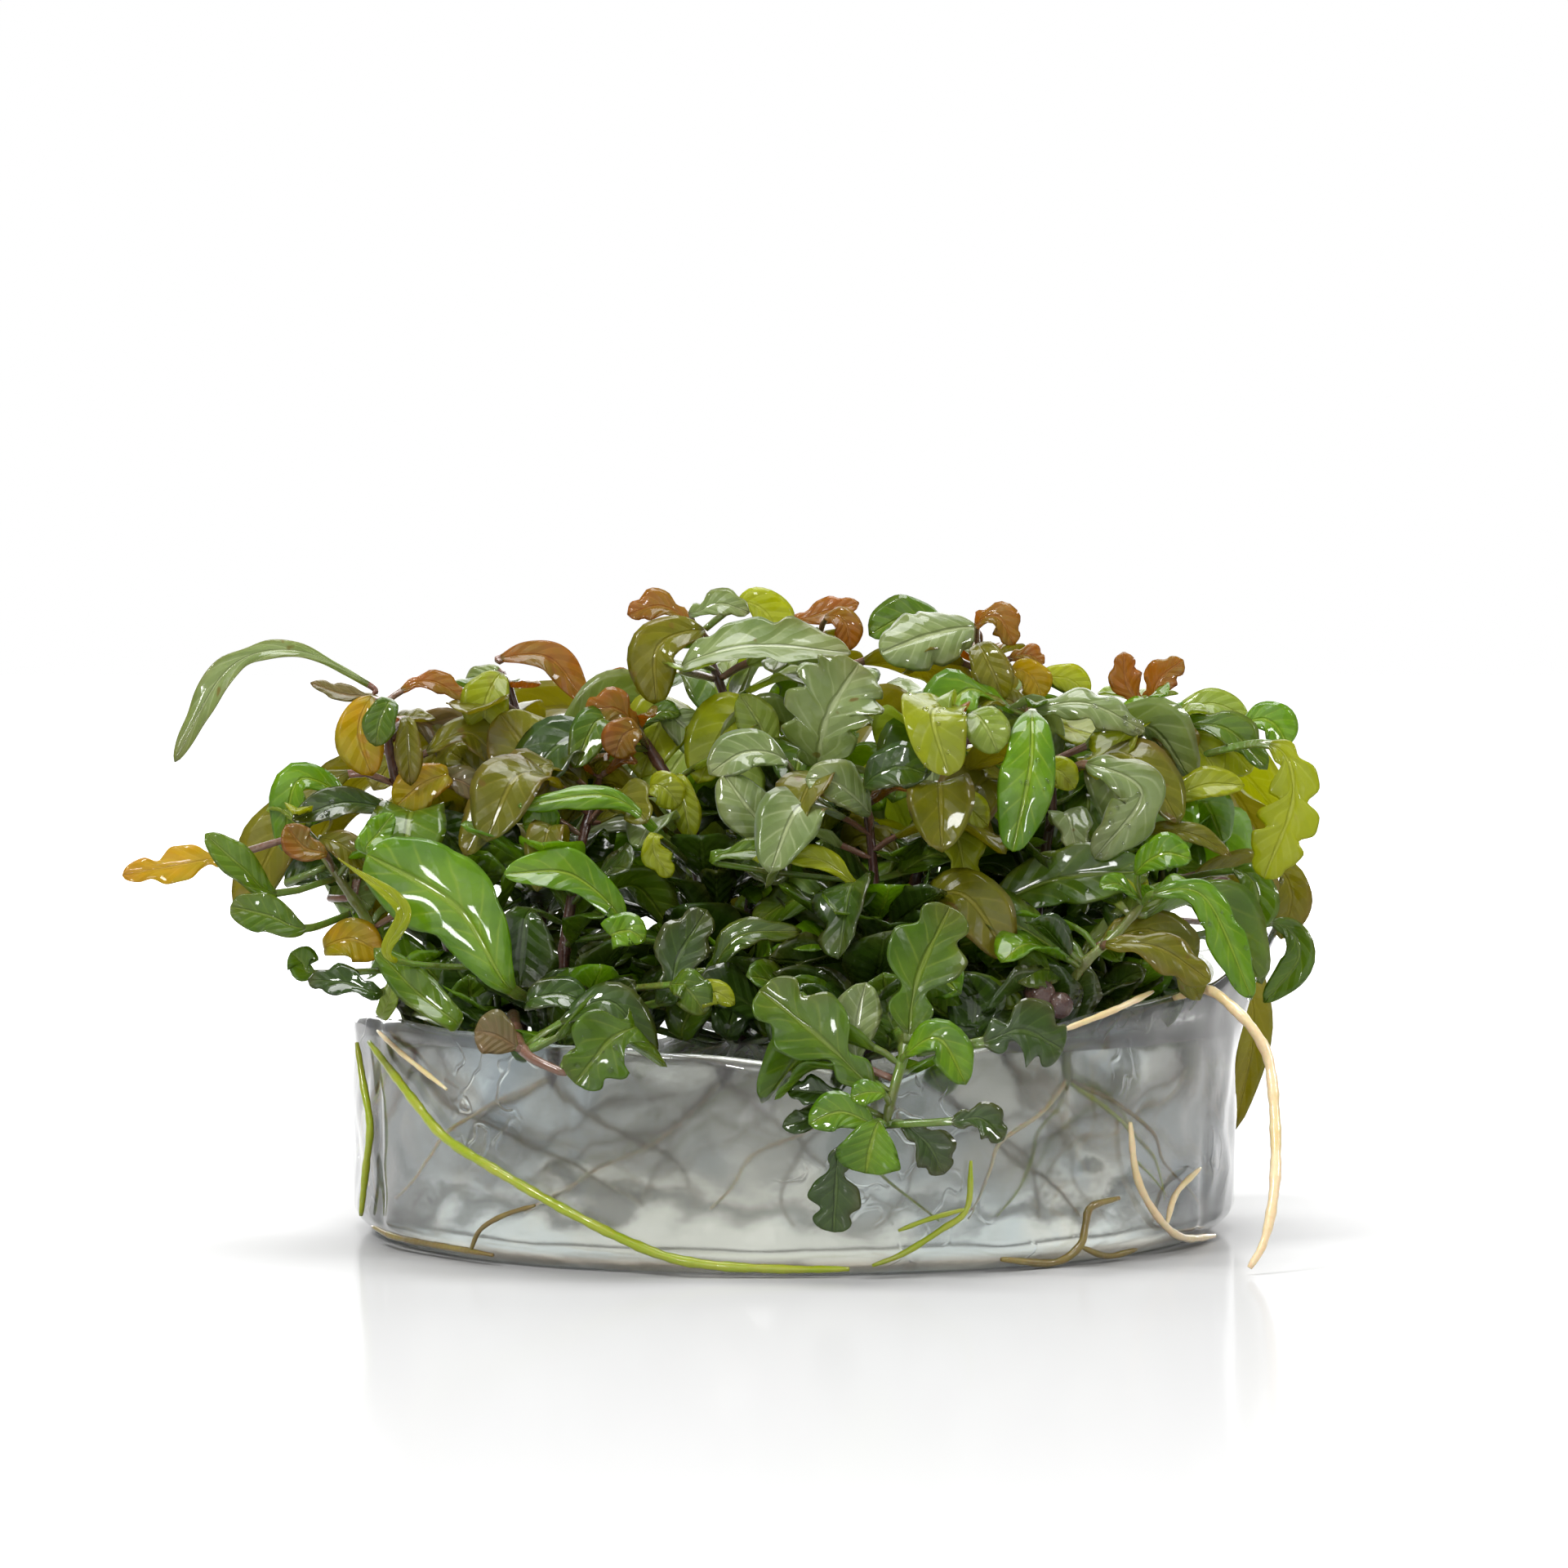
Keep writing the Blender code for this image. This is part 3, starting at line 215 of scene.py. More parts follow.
SHOOTS: tuple[Shoot, ...] = (
    Shoot("shoot_far_left", PALE, 1,
          ((505, 1232, -12), (462, 1150, -15), (415, 1075, -16), (372, 1012, -15))),
    Shoot("shoot_left", RED_BROWN, 2,
          ((560, 1232, -10), (545, 1120, -10), (530, 1050, -10), (492, 985, -10), (470, 862, -10))),
    Shoot("shoot_left_middle", RED_BROWN, 3,
          ((640, 1232, -2), (664, 1120, -3), (672, 1020, -4), (645, 915, -5), (617, 822, -5))),
    Shoot("shoot_left_front", RED_BROWN, 2,
          ((702, 1240, -20), (690, 1170, -20), (700, 1100, -19), (715, 1020, -16), (735, 950, -12))),
    Shoot("shoot_brown_fork", RED_BROWN, 2,
          ((905, 1240, -13), (878, 1120, -14), (842, 1040, -13), (822, 950, -11), (780, 893, -10))),
    Shoot("shoot_top", RED_BROWN, 3,
          ((912, 1235, -3), (918, 1110, -3), (928, 1030, -2), (910, 920, -2), (882, 851, -2),
           (858, 775, -2))),
    Shoot("shoot_middle", RED_BROWN, 3,
          ((950, 1235, -9), (960, 1120, -9), (972, 1050, -8), (1004, 945, -7), (1012, 850, -4),
           (1002, 780, -3))),
    Shoot("shoot_front_middle", RED_BROWN, 2,
          ((1060, 1250, -24), (1073, 1165, -23), (1069, 1059, -21), (1062, 985, -19))),
    Shoot("shoot_right_middle", RED_BROWN, 3,
          ((1098, 1245, -15), (1104, 1129, -16), (1136, 1039, -16), (1158, 950, -17), (1172, 885, -17))),
    Shoot("shoot_thick", RED_BROWN, 3,
          ((1176, 1235, -6), (1186, 1130, -6), (1200, 1020, -7), (1213, 920, -6), (1200, 812, -4))),
    Shoot("shoot_right", RED_BROWN, 3,
          ((1258, 1230, -14), (1268, 1130, -14), (1284, 1010, -13), (1290, 920, -12), (1268, 880, -12))),
    Shoot("shoot_pale", PALE, 3,
          ((1300, 1225, -3), (1302, 1112, -3), (1342, 1000, -4), (1390, 905, -4), (1402, 862, -3))),
    Shoot("shoot_far_right", PALE, 2,
          ((1395, 1205, -5), (1420, 1110, -6), (1432, 1000, -7), (1428, 890, -8))),
    Shoot("shoot_low_right", PALE, 1,
          ((1290, 1240, -23), (1310, 1200, -24), (1352, 1160, -25), (1400, 1105, -24))),
    Shoot("sprig_stem", OLIVE, 0,
          ((1100, 1262, -31), (1107, 1288, -36.5), (1093, 1340, -38.3), (1084, 1378, -38.6))),
    Shoot("runner", PINK, 0,
          ((628, 1240, -23), (633, 1268, -30), (645, 1290, -33.6), (668, 1309, -35.6), (694, 1316, -36))),
)

REAR_SHOOTS: tuple[RearShoot, ...] = (
    RearShoot("rear_shoot_left", (-20, 11), (-27, 17, 37), 7, 0.0),
    RearShoot("rear_shoot_left_middle", (-9, 17), (-12, 23, 42), 8, 1.1),
    RearShoot("rear_shoot_middle", (2, 9), (3, 11, 44), 7, 2.3),
    RearShoot("rear_shoot_right_middle", (12, 18), (15, 24, 41), 8, 0.7),
    RearShoot("rear_shoot_right", (23, 10), (30, 15, 36), 7, 2.9),
    RearShoot("rear_shoot_rim", (0, 27), (1, 32, 34), 7, 1.9),
)

LEAVES: dict[str, tuple[Leaf, ...]] = {
    "sprig_stem": (
        Leaf(((1113, 1266, -37.5), (1124, 1196, -36.5), (1164, 1110, -34)),
             5.6, 80, GREEN, LOBED, "sprig_leaf_tall"),
        Leaf(((1067, 1331, -38.5), (1005, 1272, -38), (930, 1212, -37)),
             5.6, 75, GREEN, LOBED, "sprig_leaf_left"),
        Leaf(((1030, 1408, -39), (1024, 1455, -38.5), (1021, 1509, -38)),
             3.9, 85, DARK, LOBED, "sprig_leaf_hanging"),
        Leaf(((1076, 1374, -40), (1066, 1405, -40), (1060, 1437, -39.5)), 3.8, 80, BRIGHT),
        Leaf(((1070, 1377, -39.5), (1030, 1362, -39.5), (990, 1376, -39.5)), 2.4, 70, BRIGHT),
        Leaf(((1110, 1291, -38), (1150, 1272, -39), (1183, 1328, -39)), 2.6, 70, BRIGHT),
        Leaf(((1082, 1340, -38.8), (1062, 1338, -39), (1042, 1345, -39)), 1.6, 70, BRIGHT),
        Leaf(((1104, 1376, -38.6), (1135, 1400, -38.6), (1156, 1438, -38.3)), 3.0, 75, DARK, LOBED),
        Leaf(((1166, 1373, -38.4), (1200, 1370, -38.4), (1229, 1396, -38.2)), 2.4, 75, DARK, LOBED),
        Leaf(((1052, 1300, -36.8), (1050, 1255, -36.5), (1061, 1203, -36)), 2.9, 80, SILVER),
        Leaf(((1033, 1344, -37.6), (1000, 1338, -37.4), (964, 1336, -37.2)), 2.2, 60, DARK, LOBED),
        Leaf(((1012, 1360, -37.4), (985, 1372, -37.4), (958, 1380, -37.2)), 1.6, 60, DARK),
        Leaf(((1205, 1276, -38), (1250, 1262, -38), (1302, 1286, -37)),
             4.8, 78, DARK, LOBED, "leaf_three_lobed"),
    ),
    "shoot_left_front": (
        Leaf(((626, 1212, -30), (560, 1112, -30), (449, 1046, -29)),
             6.6, 82, BRIGHT, PLAIN, "leaf_big_green"),
        Leaf(((484, 1176, -33), (492, 1112, -34), (413, 1050, -33)),
             1.2, 60, YELLOW, PLAIN, "leaf_yellow_curl"),
        Leaf(((776, 1256, -35), (745, 1276, -37), (704, 1327, -37.5)),
             5.4, 82, GREEN, LOBED, "leaf_front_lobed"),
        Leaf(((650, 1115, -25), (640, 1160, -26), (636, 1212, -26)), 4.6, 80, DARK),
        Leaf(((762, 1133, -26), (700, 1072, -27), (617, 1070, -28)),
             3.3, 50, BRIGHT, PLAIN, "leaf_glossy_left"),
        Leaf(((646, 1228, -30), (684, 1218, -31), (724, 1232, -31)), 2.6, 50, DARK),
        Leaf(((682, 1026, -21), (664, 1008, -22), (640, 1010, -22)), 2.6, 60, BRIGHT),
        Leaf(((806, 1228, -30), (832, 1170, -30), (866, 1114, -28)), 3.6, 80, DARK, LOBED),
        Leaf(((822, 1206, -33), (842, 1212, -34), (864, 1242, -34)), 2.4, 70, GREEN),
    ),
    "shoot_far_left": (
        Leaf(((560, 1256, -27), (510, 1215, -27), (458, 1161, -26)), 2.4, 65, GREEN),
        Leaf(((466, 1216, -22), (424, 1204, -22), (377, 1200, -21)), 2.4, 55, DARK, LOBED),
        Leaf(((468, 1245, -20), (476, 1225, -21), (480, 1200, -21)), 1.2, 70, PALE),
        Leaf(((398, 1160, -18), (430, 1150, -19), (467, 1168, -19)), 2.8, 70, AMBER),
        Leaf(((404, 1100, -14), (430, 1096, -13), (456, 1112, -13)), 2.6, 70, SILVER),
        Leaf(((373, 1137, -20), (330, 1122, -20), (282, 1110, -20)),
             3.0, 70, GREEN, PLAIN, "leaf_round_left"),
        Leaf(((385, 1192, -14), (370, 1178, -14), (356, 1166, -14)), 2.0, 60, GREEN),
        Leaf(((338, 1094, -18), (296, 1062, -19), (251, 1021, -19)), 2.2, 60, GREEN),
        Leaf(((350, 1082, -15), (388, 1066, -14), (428, 1078, -13)), 2.8, 55, DARK),
        Leaf(((292, 1045, -16), (230, 1058, -16), (148, 1072, -16)), 2.9, 65, AMBER, LOBED, "leaf_far_left"),
        Leaf(((424, 984, -13), (366, 955, -14), (346, 1042, -14)), 2.4, 60, BRIGHT),
        Leaf(((398, 1046, -19), (372, 1038, -19), (350, 1010, -19)), 2.2, 65, COPPER),
        Leaf(((393, 1028, -17), (420, 1036, -18), (448, 1060, -18)), 2.0, 65, OLIVE),
    ),
    "shoot_left": (
        Leaf(((478, 992, -14), (420, 984, -16), (358, 1004, -17)), 2.8, 50, DARK, PLAIN, "leaf_dark_glossy"),
        Leaf(((452, 1046, -22), (464, 1020, -22), (482, 996, -22)), 1.8, 70, BRIGHT),
        Leaf(((450, 838, -10), (362, 797, -12), (280, 820, -13), (214, 933, -14)),
             2.1, 60, SILVER, LOBED, "leaf_left_arch"),
        Leaf(((455, 855, -13), (440, 895, -14), (456, 950, -14)), 3.0, 80, AMBER),
        Leaf(((478, 858, -16), (466, 882, -17), (460, 914, -17)), 2.2, 80, GREEN),
        Leaf(((496, 880, -15), (500, 915, -16), (503, 962, -16)), 1.8, 75, OLIVE),
        Leaf(((507, 884, -7), (555, 905, -6), (608, 960, -6)), 4.4, 75, PINK),
        Leaf(((492, 846, -9), (525, 834, -9), (573, 856, -9)), 1.8, 60, COPPER, LOBED),
        Leaf(((462, 856, -7), (420, 850, -7), (380, 836, -7)), 1.5, 60, PINK, LOBED),
        Leaf(((548, 950, -14), (520, 960, -15), (484, 988, -15)), 2.9, 75, AMBER),
        Leaf(((530, 962, -18), (562, 956, -19), (598, 984, -19)), 2.0, 65, PINK),
        Leaf(((518, 1008, -14), (545, 1022, -14), (570, 1052, -14)), 3.6, 75, DARK),
    ),
    "runner": (
        Leaf(((632, 1282, -33.5), (606, 1268, -34), (581, 1262, -34)), 2.9, 75, PINK),
    ),
    "shoot_left_middle": (
        Leaf(((613, 826, -8), (596, 858, -10), (592, 898, -10)), 3.2, 80, YELLOW),
        Leaf(((613, 806, -4), (672, 806, -4), (718, 862, -4)), 2.6, 60, COPPER, PLAIN, "leaf_brown_arch"),
        Leaf(((612, 822, -3), (590, 828, -3), (571, 845, -3)), 1.6, 50, SILVER),
        Leaf(((712, 980, -12), (655, 930, -13), (612, 874, -12)), 5.6, 80, OLIVE, PLAIN, "leaf_olive_left"),
        Leaf(((642, 984, -9), (596, 955, -9), (548, 918, -8)), 3.4, 75, OLIVE),
        Leaf(((576, 996, -8), (596, 1020, -8), (624, 1056, -8)), 3.6, 75, DARK),
    ),
    "shoot_brown_fork": (
        Leaf(((813, 1024, -20), (745, 975, -22), (634, 987, -23)), 2.2, 60, BRIGHT, LOBED, "leaf_mid_arch"),
        Leaf(((780, 890, -12), (752, 868, -13), (716, 872, -13)), 2.8, 70, COPPER, LOBED),
        Leaf(((782, 894, -15), (764, 902, -16), (752, 928, -16)), 2.4, 75, COPPER),
        Leaf(((798, 965, -16), (812, 964, -17), (832, 988, -17)), 2.2, 75, YELLOW),
        Leaf(((829, 950, -19), (838, 985, -20), (846, 1028, -20)), 1.8, 80, YELLOW),
        Leaf(((806, 1024, -25), (802, 1045, -26), (822, 1074, -26)), 2.0, 70, YELLOW, LOBED),
        Leaf(((756, 1149, -29), (770, 1140, -30), (790, 1152, -30)), 2.2, 75, BRIGHT),
        Leaf(((870, 1206, -26), (902, 1148, -27), (982, 1140, -27)), 2.2, 60, GREEN, LOBED),
        Leaf(((856, 1224, -32), (876, 1216, -33), (900, 1230, -33)), 1.8, 70, YELLOW),
    ),
    "shoot_top": (
        Leaf(((844, 760, -3), (808, 742, -3), (768, 752, -3)), 2.6, 65, COPPER, LOBED),
        Leaf(((846, 748, -6), (880, 728, -7), (918, 738, -7)), 2.2, 55, SILVER, LOBED),
        Leaf(((905, 738, -1), (934, 744, -1), (956, 780, -1)), 3.0, 75, YELLOW),
        Leaf(((860, 772, -7), (806, 792, -9), (804, 864, -9)), 3.2, 70, OLIVE),
        Leaf(((836, 816, -12), (920, 792, -13), (1042, 800, -13)), 5.2, 38, SILVER, LOBED, "leaf_top_silver"),
        Leaf(((826, 874, -9), (846, 896, -10), (880, 920, -10)), 2.8, 70, SILVER),
    ),
    "shoot_middle": (
        Leaf(((966, 768, -1), (1002, 752, -1), (1052, 738, -1)), 2.0, 65, COPPER, LOBED),
        Leaf(((1012, 756, -5), (1034, 762, -6), (1042, 796, -6)), 2.0, 70, COPPER),
        Leaf(((1001, 941, -15), (1012, 880, -17), (1052, 812, -16)),
             7.4, 68, SILVER, LOBED, "leaf_centre_silver"),
        Leaf(((948, 928, -11), (930, 886, -12), (906, 850, -12)), 2.6, 75, PALE),
        Leaf(((962, 932, -16), (914, 922, -18), (868, 948, -19)), 3.4, 50, SILVER),
        Leaf(((954, 1028, -20), (918, 992, -22), (886, 948, -21)),
             4.0, 65, SILVER, PLAIN, "leaf_silver_fold"),
    ),
    "shoot_front_middle": (
        Leaf(((1064, 996, -23), (1024, 960, -25), (986, 954, -25)), 3.2, 55, SILVER),
        Leaf(((878, 1058, -24), (920, 1042, -24), (970, 1056, -24)), 1.8, 55, GREEN, LOBED),
        Leaf(((1062, 1098, -26), (1000, 1052, -28), (921, 1052, -28)), 1.8, 55, YELLOW, LOBED),
        Leaf(((1060, 962, -24), (1098, 940, -25), (1136, 948, -25)), 3.2, 60, DARK),
    ),
    "shoot_thick": (
        Leaf(((1196, 770, -6), (1140, 778, -8), (1078, 800, -9)),
             5.2, 55, SILVER, LOBED, "leaf_right_silver"),
        Leaf(((1150, 764, 0), (1110, 756, 0), (1064, 778, 0)), 3.0, 55, GREEN),
        Leaf(((1196, 766, -10), (1222, 756, -11), (1242, 790, -11)), 2.4, 70, COPPER, LOBED),
        Leaf(((1238, 806, -5), (1258, 802, -5), (1279, 812, -5)), 1.6, 70, COPPER, LOBED),
        Leaf(((1198, 790, -11), (1214, 820, -13), (1230, 858, -13)), 2.4, 75, OLIVE),
        Leaf(((1240, 820, -8), (1262, 828, -8), (1276, 856, -8)), 2.2, 75, AMBER),
        Leaf(((1200, 1120, -19), (1290, 1078, -21), (1408, 1066, -22)),
             4.8, 60, GREEN, LOBED, "leaf_dark_wide"),
    ),
    "shoot_pale": (
        Leaf(((1284, 836, -6), (1308, 832, -6), (1334, 852, -6)), 2.2, 70, YELLOW),
        Leaf(((1400, 872, -5), (1380, 838, -5), (1376, 798, -5)), 2.4, 75, COPPER, LOBED),
        Leaf(((1404, 870, -2), (1420, 832, -2), (1449, 808, -2)), 2.4, 75, COPPER, LOBED),
        Leaf(((1410, 892, -9), (1434, 900, -10), (1452, 936, -10)), 3.0, 70, OLIVE),
    ),
    "shoot_right_middle": (
        Leaf(((1172, 866, -20), (1142, 876, -27), (1162, 950, -29)),
             4.6, 55, YELLOW, PLAIN, "leaf_pale_hanging"),
        Leaf(((1190, 874, -22), (1208, 892, -24), (1222, 922, -24)), 2.6, 70, PALE),
        Leaf(((1148, 990, -21), (1178, 986, -22), (1210, 1012, -22)), 2.2, 65, YELLOW),
    ),
    "shoot_right": (
        Leaf(((1264, 872, -22), (1262, 940, -26), (1240, 1043, -27)),
             4.0, 78, BRIGHT, PLAIN, "leaf_long_hanging"),
        Leaf(((1262, 870, -16), (1330, 862, -17), (1402, 896, -17)),
             3.4, 48, SILVER, LOBED, "leaf_silver_arch"),
        Leaf(((1278, 948, -18), (1296, 944, -19), (1316, 966, -19)), 2.0, 75, YELLOW),
        Leaf(((1332, 936, -20), (1398, 972, -22), (1340, 1052, -22)),
             4.0, 75, SILVER, LOBED, "leaf_grey_right"),
    ),
    "shoot_far_right": (
        Leaf(((1436, 880, -4), (1482, 862, -4), (1530, 880, -4)), 2.2, 55, PALE),
        Leaf(((1440, 890, -9), (1500, 892, -10), (1552, 942, -10)), 2.8, 65, GREEN, LOBED),
        Leaf(((1524, 884, -6), (1556, 884, -6), (1578, 914, -6)), 2.8, 65, BRIGHT),
        Leaf(((1556, 912, -12), (1584, 975, -13), (1548, 1076, -13)),
             4.6, 80, YELLOW, LOBED, "leaf_right_lobed"),
        Leaf(((1462, 908, -13), (1498, 912, -14), (1532, 946, -14)), 3.2, 70, YELLOW),
        Leaf(((1430, 984, -12), (1474, 962, -13), (1524, 962, -13)), 2.2, 60, YELLOW),
        Leaf(((1406, 1016, -17), (1460, 1022, -18), (1508, 1048, -18)), 1.6, 55, OLIVE),
        Leaf(((1512, 1066, -10), (1540, 1096, -11), (1532, 1144, -11)), 2.6, 70, GREEN),
        Leaf(((1570, 1064, 2), (1604, 1092, 2), (1592, 1150, 2)), 2.6, 70, OLIVE),
        Leaf(((1560, 1130, 8), (1600, 1168, 8), (1556, 1228, 8)), 2.2, 70, GREEN),
    ),
    "shoot_low_right": (
        Leaf(((1392, 1070, -25), (1424, 1046, -26), (1459, 1052, -26)), 2.6, 60, BRIGHT),
        Leaf(((1330, 1160, -21), (1384, 1120, -21), (1434, 1080, -20)), 1.8, 65, PALE),
        Leaf(((1414, 1094, -27), (1476, 1100, -28), (1533, 1222, -28)),
             2.9, 70, BRIGHT, PLAIN, "leaf_bright_drooping"),
        Leaf(((1356, 1156, -29), (1416, 1160, -30), (1482, 1202, -30)),
             3.2, 65, OLIVE, LOBED, "leaf_olive_low"),
    ),
    "rear_shoot_right": (
        Leaf(((1486, 1130, 17), (1534, 1240, 25), (1512, 1384, 26)), 2.6, 70, OLIVE),
    ),
}

ROOTS: tuple[Root, ...] = (
    Root("root_left_upright", 0.30, ROOT_GREEN,
         ((437, 1277), (445, 1328), (453, 1379), (448, 1430), (442, 1488))),
    Root("root_left_straw", 0.20, ROOT_CREAM, ((462, 1262), (492, 1290), (547, 1334))),
    Root("root_diagonal", 0.38, ROOT_GREEN,
         ((452, 1276), (484, 1318), (510, 1352), (545, 1393), (604, 1431), (706, 1489), (802, 1534),
          (870, 1549), (960, 1554), (1040, 1554))),
    Root("root_left_rim", 0.25, ROOT_OLIVE,
         ((456, 1502), (489, 1516), (576, 1532), (604, 1537)),
         (((576, 1532), (588, 1506), (617, 1488), (655, 1476)),)),
    Root("root_front_branch", 0.24, ROOT_GREEN,
         ((1068, 1550), (1106, 1535), (1152, 1506), (1184, 1480), (1189, 1421)),
         (((1184, 1480), (1140, 1492), (1100, 1507)),)),
    Root("root_lower_right", 0.30, ROOT_OLIVE,
         ((1226, 1542), (1290, 1549), (1322, 1526), (1329, 1501), (1336, 1478), (1370, 1467)),
         (((1322, 1526), (1356, 1538), (1392, 1530)),)),
    Root("root_inner_cream", 0.30, ROOT_CREAM,
         ((1384, 1374), (1390, 1431), (1403, 1467), (1428, 1502), (1452, 1516), (1486, 1532)),
         (((1428, 1502), (1440, 1462), (1470, 1430)),)),
)

RIM_ROOT = ((1300, 1262, -29.0), (1366, 1236, -26.0), (1412, 1214, -23.0))
TRAILING_ROOT = (
    (1438, 1222, -18.5), (1478, 1212, -21.0), (1512, 1236, -23.5), (1538, 1266, -25.0), (1555, 1305, -26.0),
    (1562, 1389, -28.5), (1560, 1460, -31.0), (1548, 1520, -32.5), (1530, 1556, -33.0),
)
TRAILING_RADIUS = 0.42
RIM_ROOT_RADIUS = 0.25
CALLUS_KNOBS = ((1273, 1217, -27.2, 1.35), (1297, 1231, -27.2, 1.2))

# The top outline of the foliage behind the front leaves, as (x, height)
CANOPY = (
    (-43, 27), (-40, 34), (-32, 41), (-23, 44), (-17, 41), (-12, 46), (0, 48), (14, 47), (20, 44), (24, 40),
    (28, 43), (36, 39), (41, 33),
)
CANOPY_ROOM = 2.5
GROWN_WIDTH = 5.2
GROWN_LENGTH = 11.0
GROWN_SPREAD = 2.5
GROWN_DROOP = 0.42
GROWN_LEAN = 42
GROWN_STALK = 3.4
GROWN_RISE = 1.8
GROWN_ARCH = 0.8
GROWN_REACH = 0.86
TURN_STEP = math.radians(14)
TURN_STEPS = 25
LOWEST_LEAF = 0.40
INNER_TURN = 1.6
WIDEST_SPREAD = 40.5


def from_picture(across: float, down: float, depth: float) -> Array:
    """Find the point that the front view shows at a spot.

    Args:
        across: Distance from the view's left edge.
        down: Distance from the view's top edge.
        depth: The point's y, in millimetres.

    Returns:
        The point in millimetres.
    """
    rise = (VIEW_MIDDLE - down) / VIEW_SCALE
    sine, cosine = math.sin(VIEW_PITCH), math.cos(VIEW_PITCH)
    height = (rise * (VIEW_DISTANCE + depth * cosine) - depth * sine) / (cosine + rise * sine)
    distance = VIEW_DISTANCE + depth * cosine - height * sine
    x = VIEW_CENTRE[0] + (across - VIEW_MIDDLE) * distance / VIEW_SCALE
    return np.array([x, depth, VIEW_CENTRE[1] + height])


def unit(vector: Array) -> Array:
    """Return the vector at length one."""
    return vector / max(np.linalg.norm(vector), 1e-9)


def outwards(angle: float) -> Array:
    """Return the level direction at an angle in radians."""
    return np.array([math.cos(angle), math.sin(angle), 0.0])


def upwards(height: float) -> Array:
    """Return a step straight up."""
    return np.array([0.0, 0.0, height])


def pick(rng: Random, tints: tuple[Tint, ...]) -> Tint:
    """Return one of the colours, by chance."""
    return tints[int(rng.integers(len(tints)))]


def in_scene(name: str, data: bpy.types.ID) -> bpy.types.Object:
    """Return a new object in the scene that shows a mesh, a lamp or a camera."""
    made = bpy.data.objects.new(name, data)
    bpy.context.scene.collection.objects.link(made)
    return made


def smooth_path(points: list[Array] | Array) -> Array:
    """Run a Catmull-Rom curve through points.

    Args:
        points: The points to pass through.

    Returns:
        The curve's points, SPAN_STEPS steps between each two given ones.
    """
    points = np.asarray(points, float)
    ends = np.vstack([2 * points[0] - points[1], points, 2 * points[-1] - points[-2]])
    curve = [points[0]]
    for start in range(1, len(ends) - 2):
        before, here, there, after = ends[start - 1:start + 3]
        for step in range(1, SPAN_STEPS + 1):
            t = step / SPAN_STEPS
            curve.append(0.5 * (
                2 * here + (there - before) * t + (2 * before - 5 * here + 4 * there - after) * t ** 2
                + (3 * here - before - 3 * there + after) * t ** 3
            ))
    return np.array(curve)


def evenly(curve: Array, fractions: Array | tuple[float, ...]) -> Array:
    """Pick points along a curve.

    Args:
        curve: The curve's points.
        fractions: Shares of the curve's length.

    Returns:
        The points at those shares.
    """
    steps = np.linalg.norm(np.diff(curve, axis=0), axis=1)
    along = np.concatenate([[0], np.cumsum(steps)]) / max(steps.sum(), 1e-9)
    return np.column_stack([np.interp(fractions, along, curve[:, axis]) for axis in range(3)])


def to_and_fro(step: int) -> int:
    """Return 0, 1, -1, 2, -2 and so on."""
    return (step + 1) // 2 * (1 if step % 2 else -1)


def rim_height(angle: float) -> float:
    """Return the height of the slab's rim at an angle in degrees."""
    knots = np.array(RIM_HEIGHTS, float)
    return float(np.interp(angle, knots[:, 0], knots[:, 1]))


def wall_radius(angle: float, height: float) -> float:
    """Find how far the slab's wall is from its axis.

    Args:
        angle: The direction from the axis, in degrees.
        height: The height above the table.

    Returns:
        The wall's radius there.
    """
    turn = math.radians(angle)
    radius = GEL_RADIUS + WAVE * (math.sin(3 * turn + 0.6) + 0.5 * math.sin(5 * turn + height / 6))
    radius -= FOOT_BEVEL * max(1 - height / FOOT_BEVEL, 0) ** 2
    rise = min(max((height - LIP_START) / (rim_height(LIP_ANGLE) - LIP_START), 0), 1)
    return radius + LIP_FLARE * rise ** 1.4 * math.exp(-((angle - LIP_ANGLE) / LIP_SPREAD) ** 2)


def canopy_height(x: float) -> float:
    """Return the highest that a leaf behind may reach at this x."""
    knots = np.array(CANOPY, float)
    return float(np.interp(x, knots[:, 0], knots[:, 1])) - CANOPY_ROOM


def attach_point(stem: Array, foot: Array, is_own: bool) -> Array:
    """Find where a leaf's stalk leaves its stem.

    Args:
        stem: The stem's points.
        foot: The foot of the leaf's blade.
        is_own: Whether the leaf is a piece of its own, which starts off the stem's skin.

    Returns:
        The stalk's first point.
    """
    stem = evenly(stem, np.linspace(0, 1, 80))
    reach = np.linalg.norm(stem - foot, axis=1) + 0.35 * np.maximum(stem[:, 2] - foot[2] + 1.5, 0)
    nearest = stem[int(np.argmin(reach))]
    away = unit(foot - nearest)
    return nearest + away * (STEM_FOOT + GAP) if is_own else nearest - away * STALK_ROOT


def stem_points(shoot: Shoot) -> Array:
    """Return the points of a stem: upright in the gel, then along its path."""
    path = [from_picture(*point) for point in shoot.path]
    if shoot.name in OVER_THE_RIM:
        return evenly(smooth_path(path), np.linspace(0, 1, STEM_STEPS))
    base = path[0].copy()
    base[2] = GEL_TOP + COLLAR
    foot = base - upwards(SOCKET_DEPTH + COLLAR)
    return np.vstack([foot, evenly(smooth_path([base, *path[1:]]), np.linspace(0, 1, STEM_STEPS))])


def rear_stem_points(shoot: RearShoot) -> Array:
    """Return the points of a rear stem: upright in the gel, then leaning outwards."""
    foot = np.array([*shoot.foot, GEL_TOP - SOCKET_DEPTH])
    base = foot + upwards(SOCKET_DEPTH + COLLAR)
    top = np.array(shoot.top, float)
    middle = (base + top) / 2 + np.array([-0.15 * (top[0] - base[0]), -0.15 * (top[1] - base[1]), 1.0])
    return np.vstack([foot, evenly(smooth_path([base, middle, top]), np.linspace(0, 1, STEM_STEPS))])


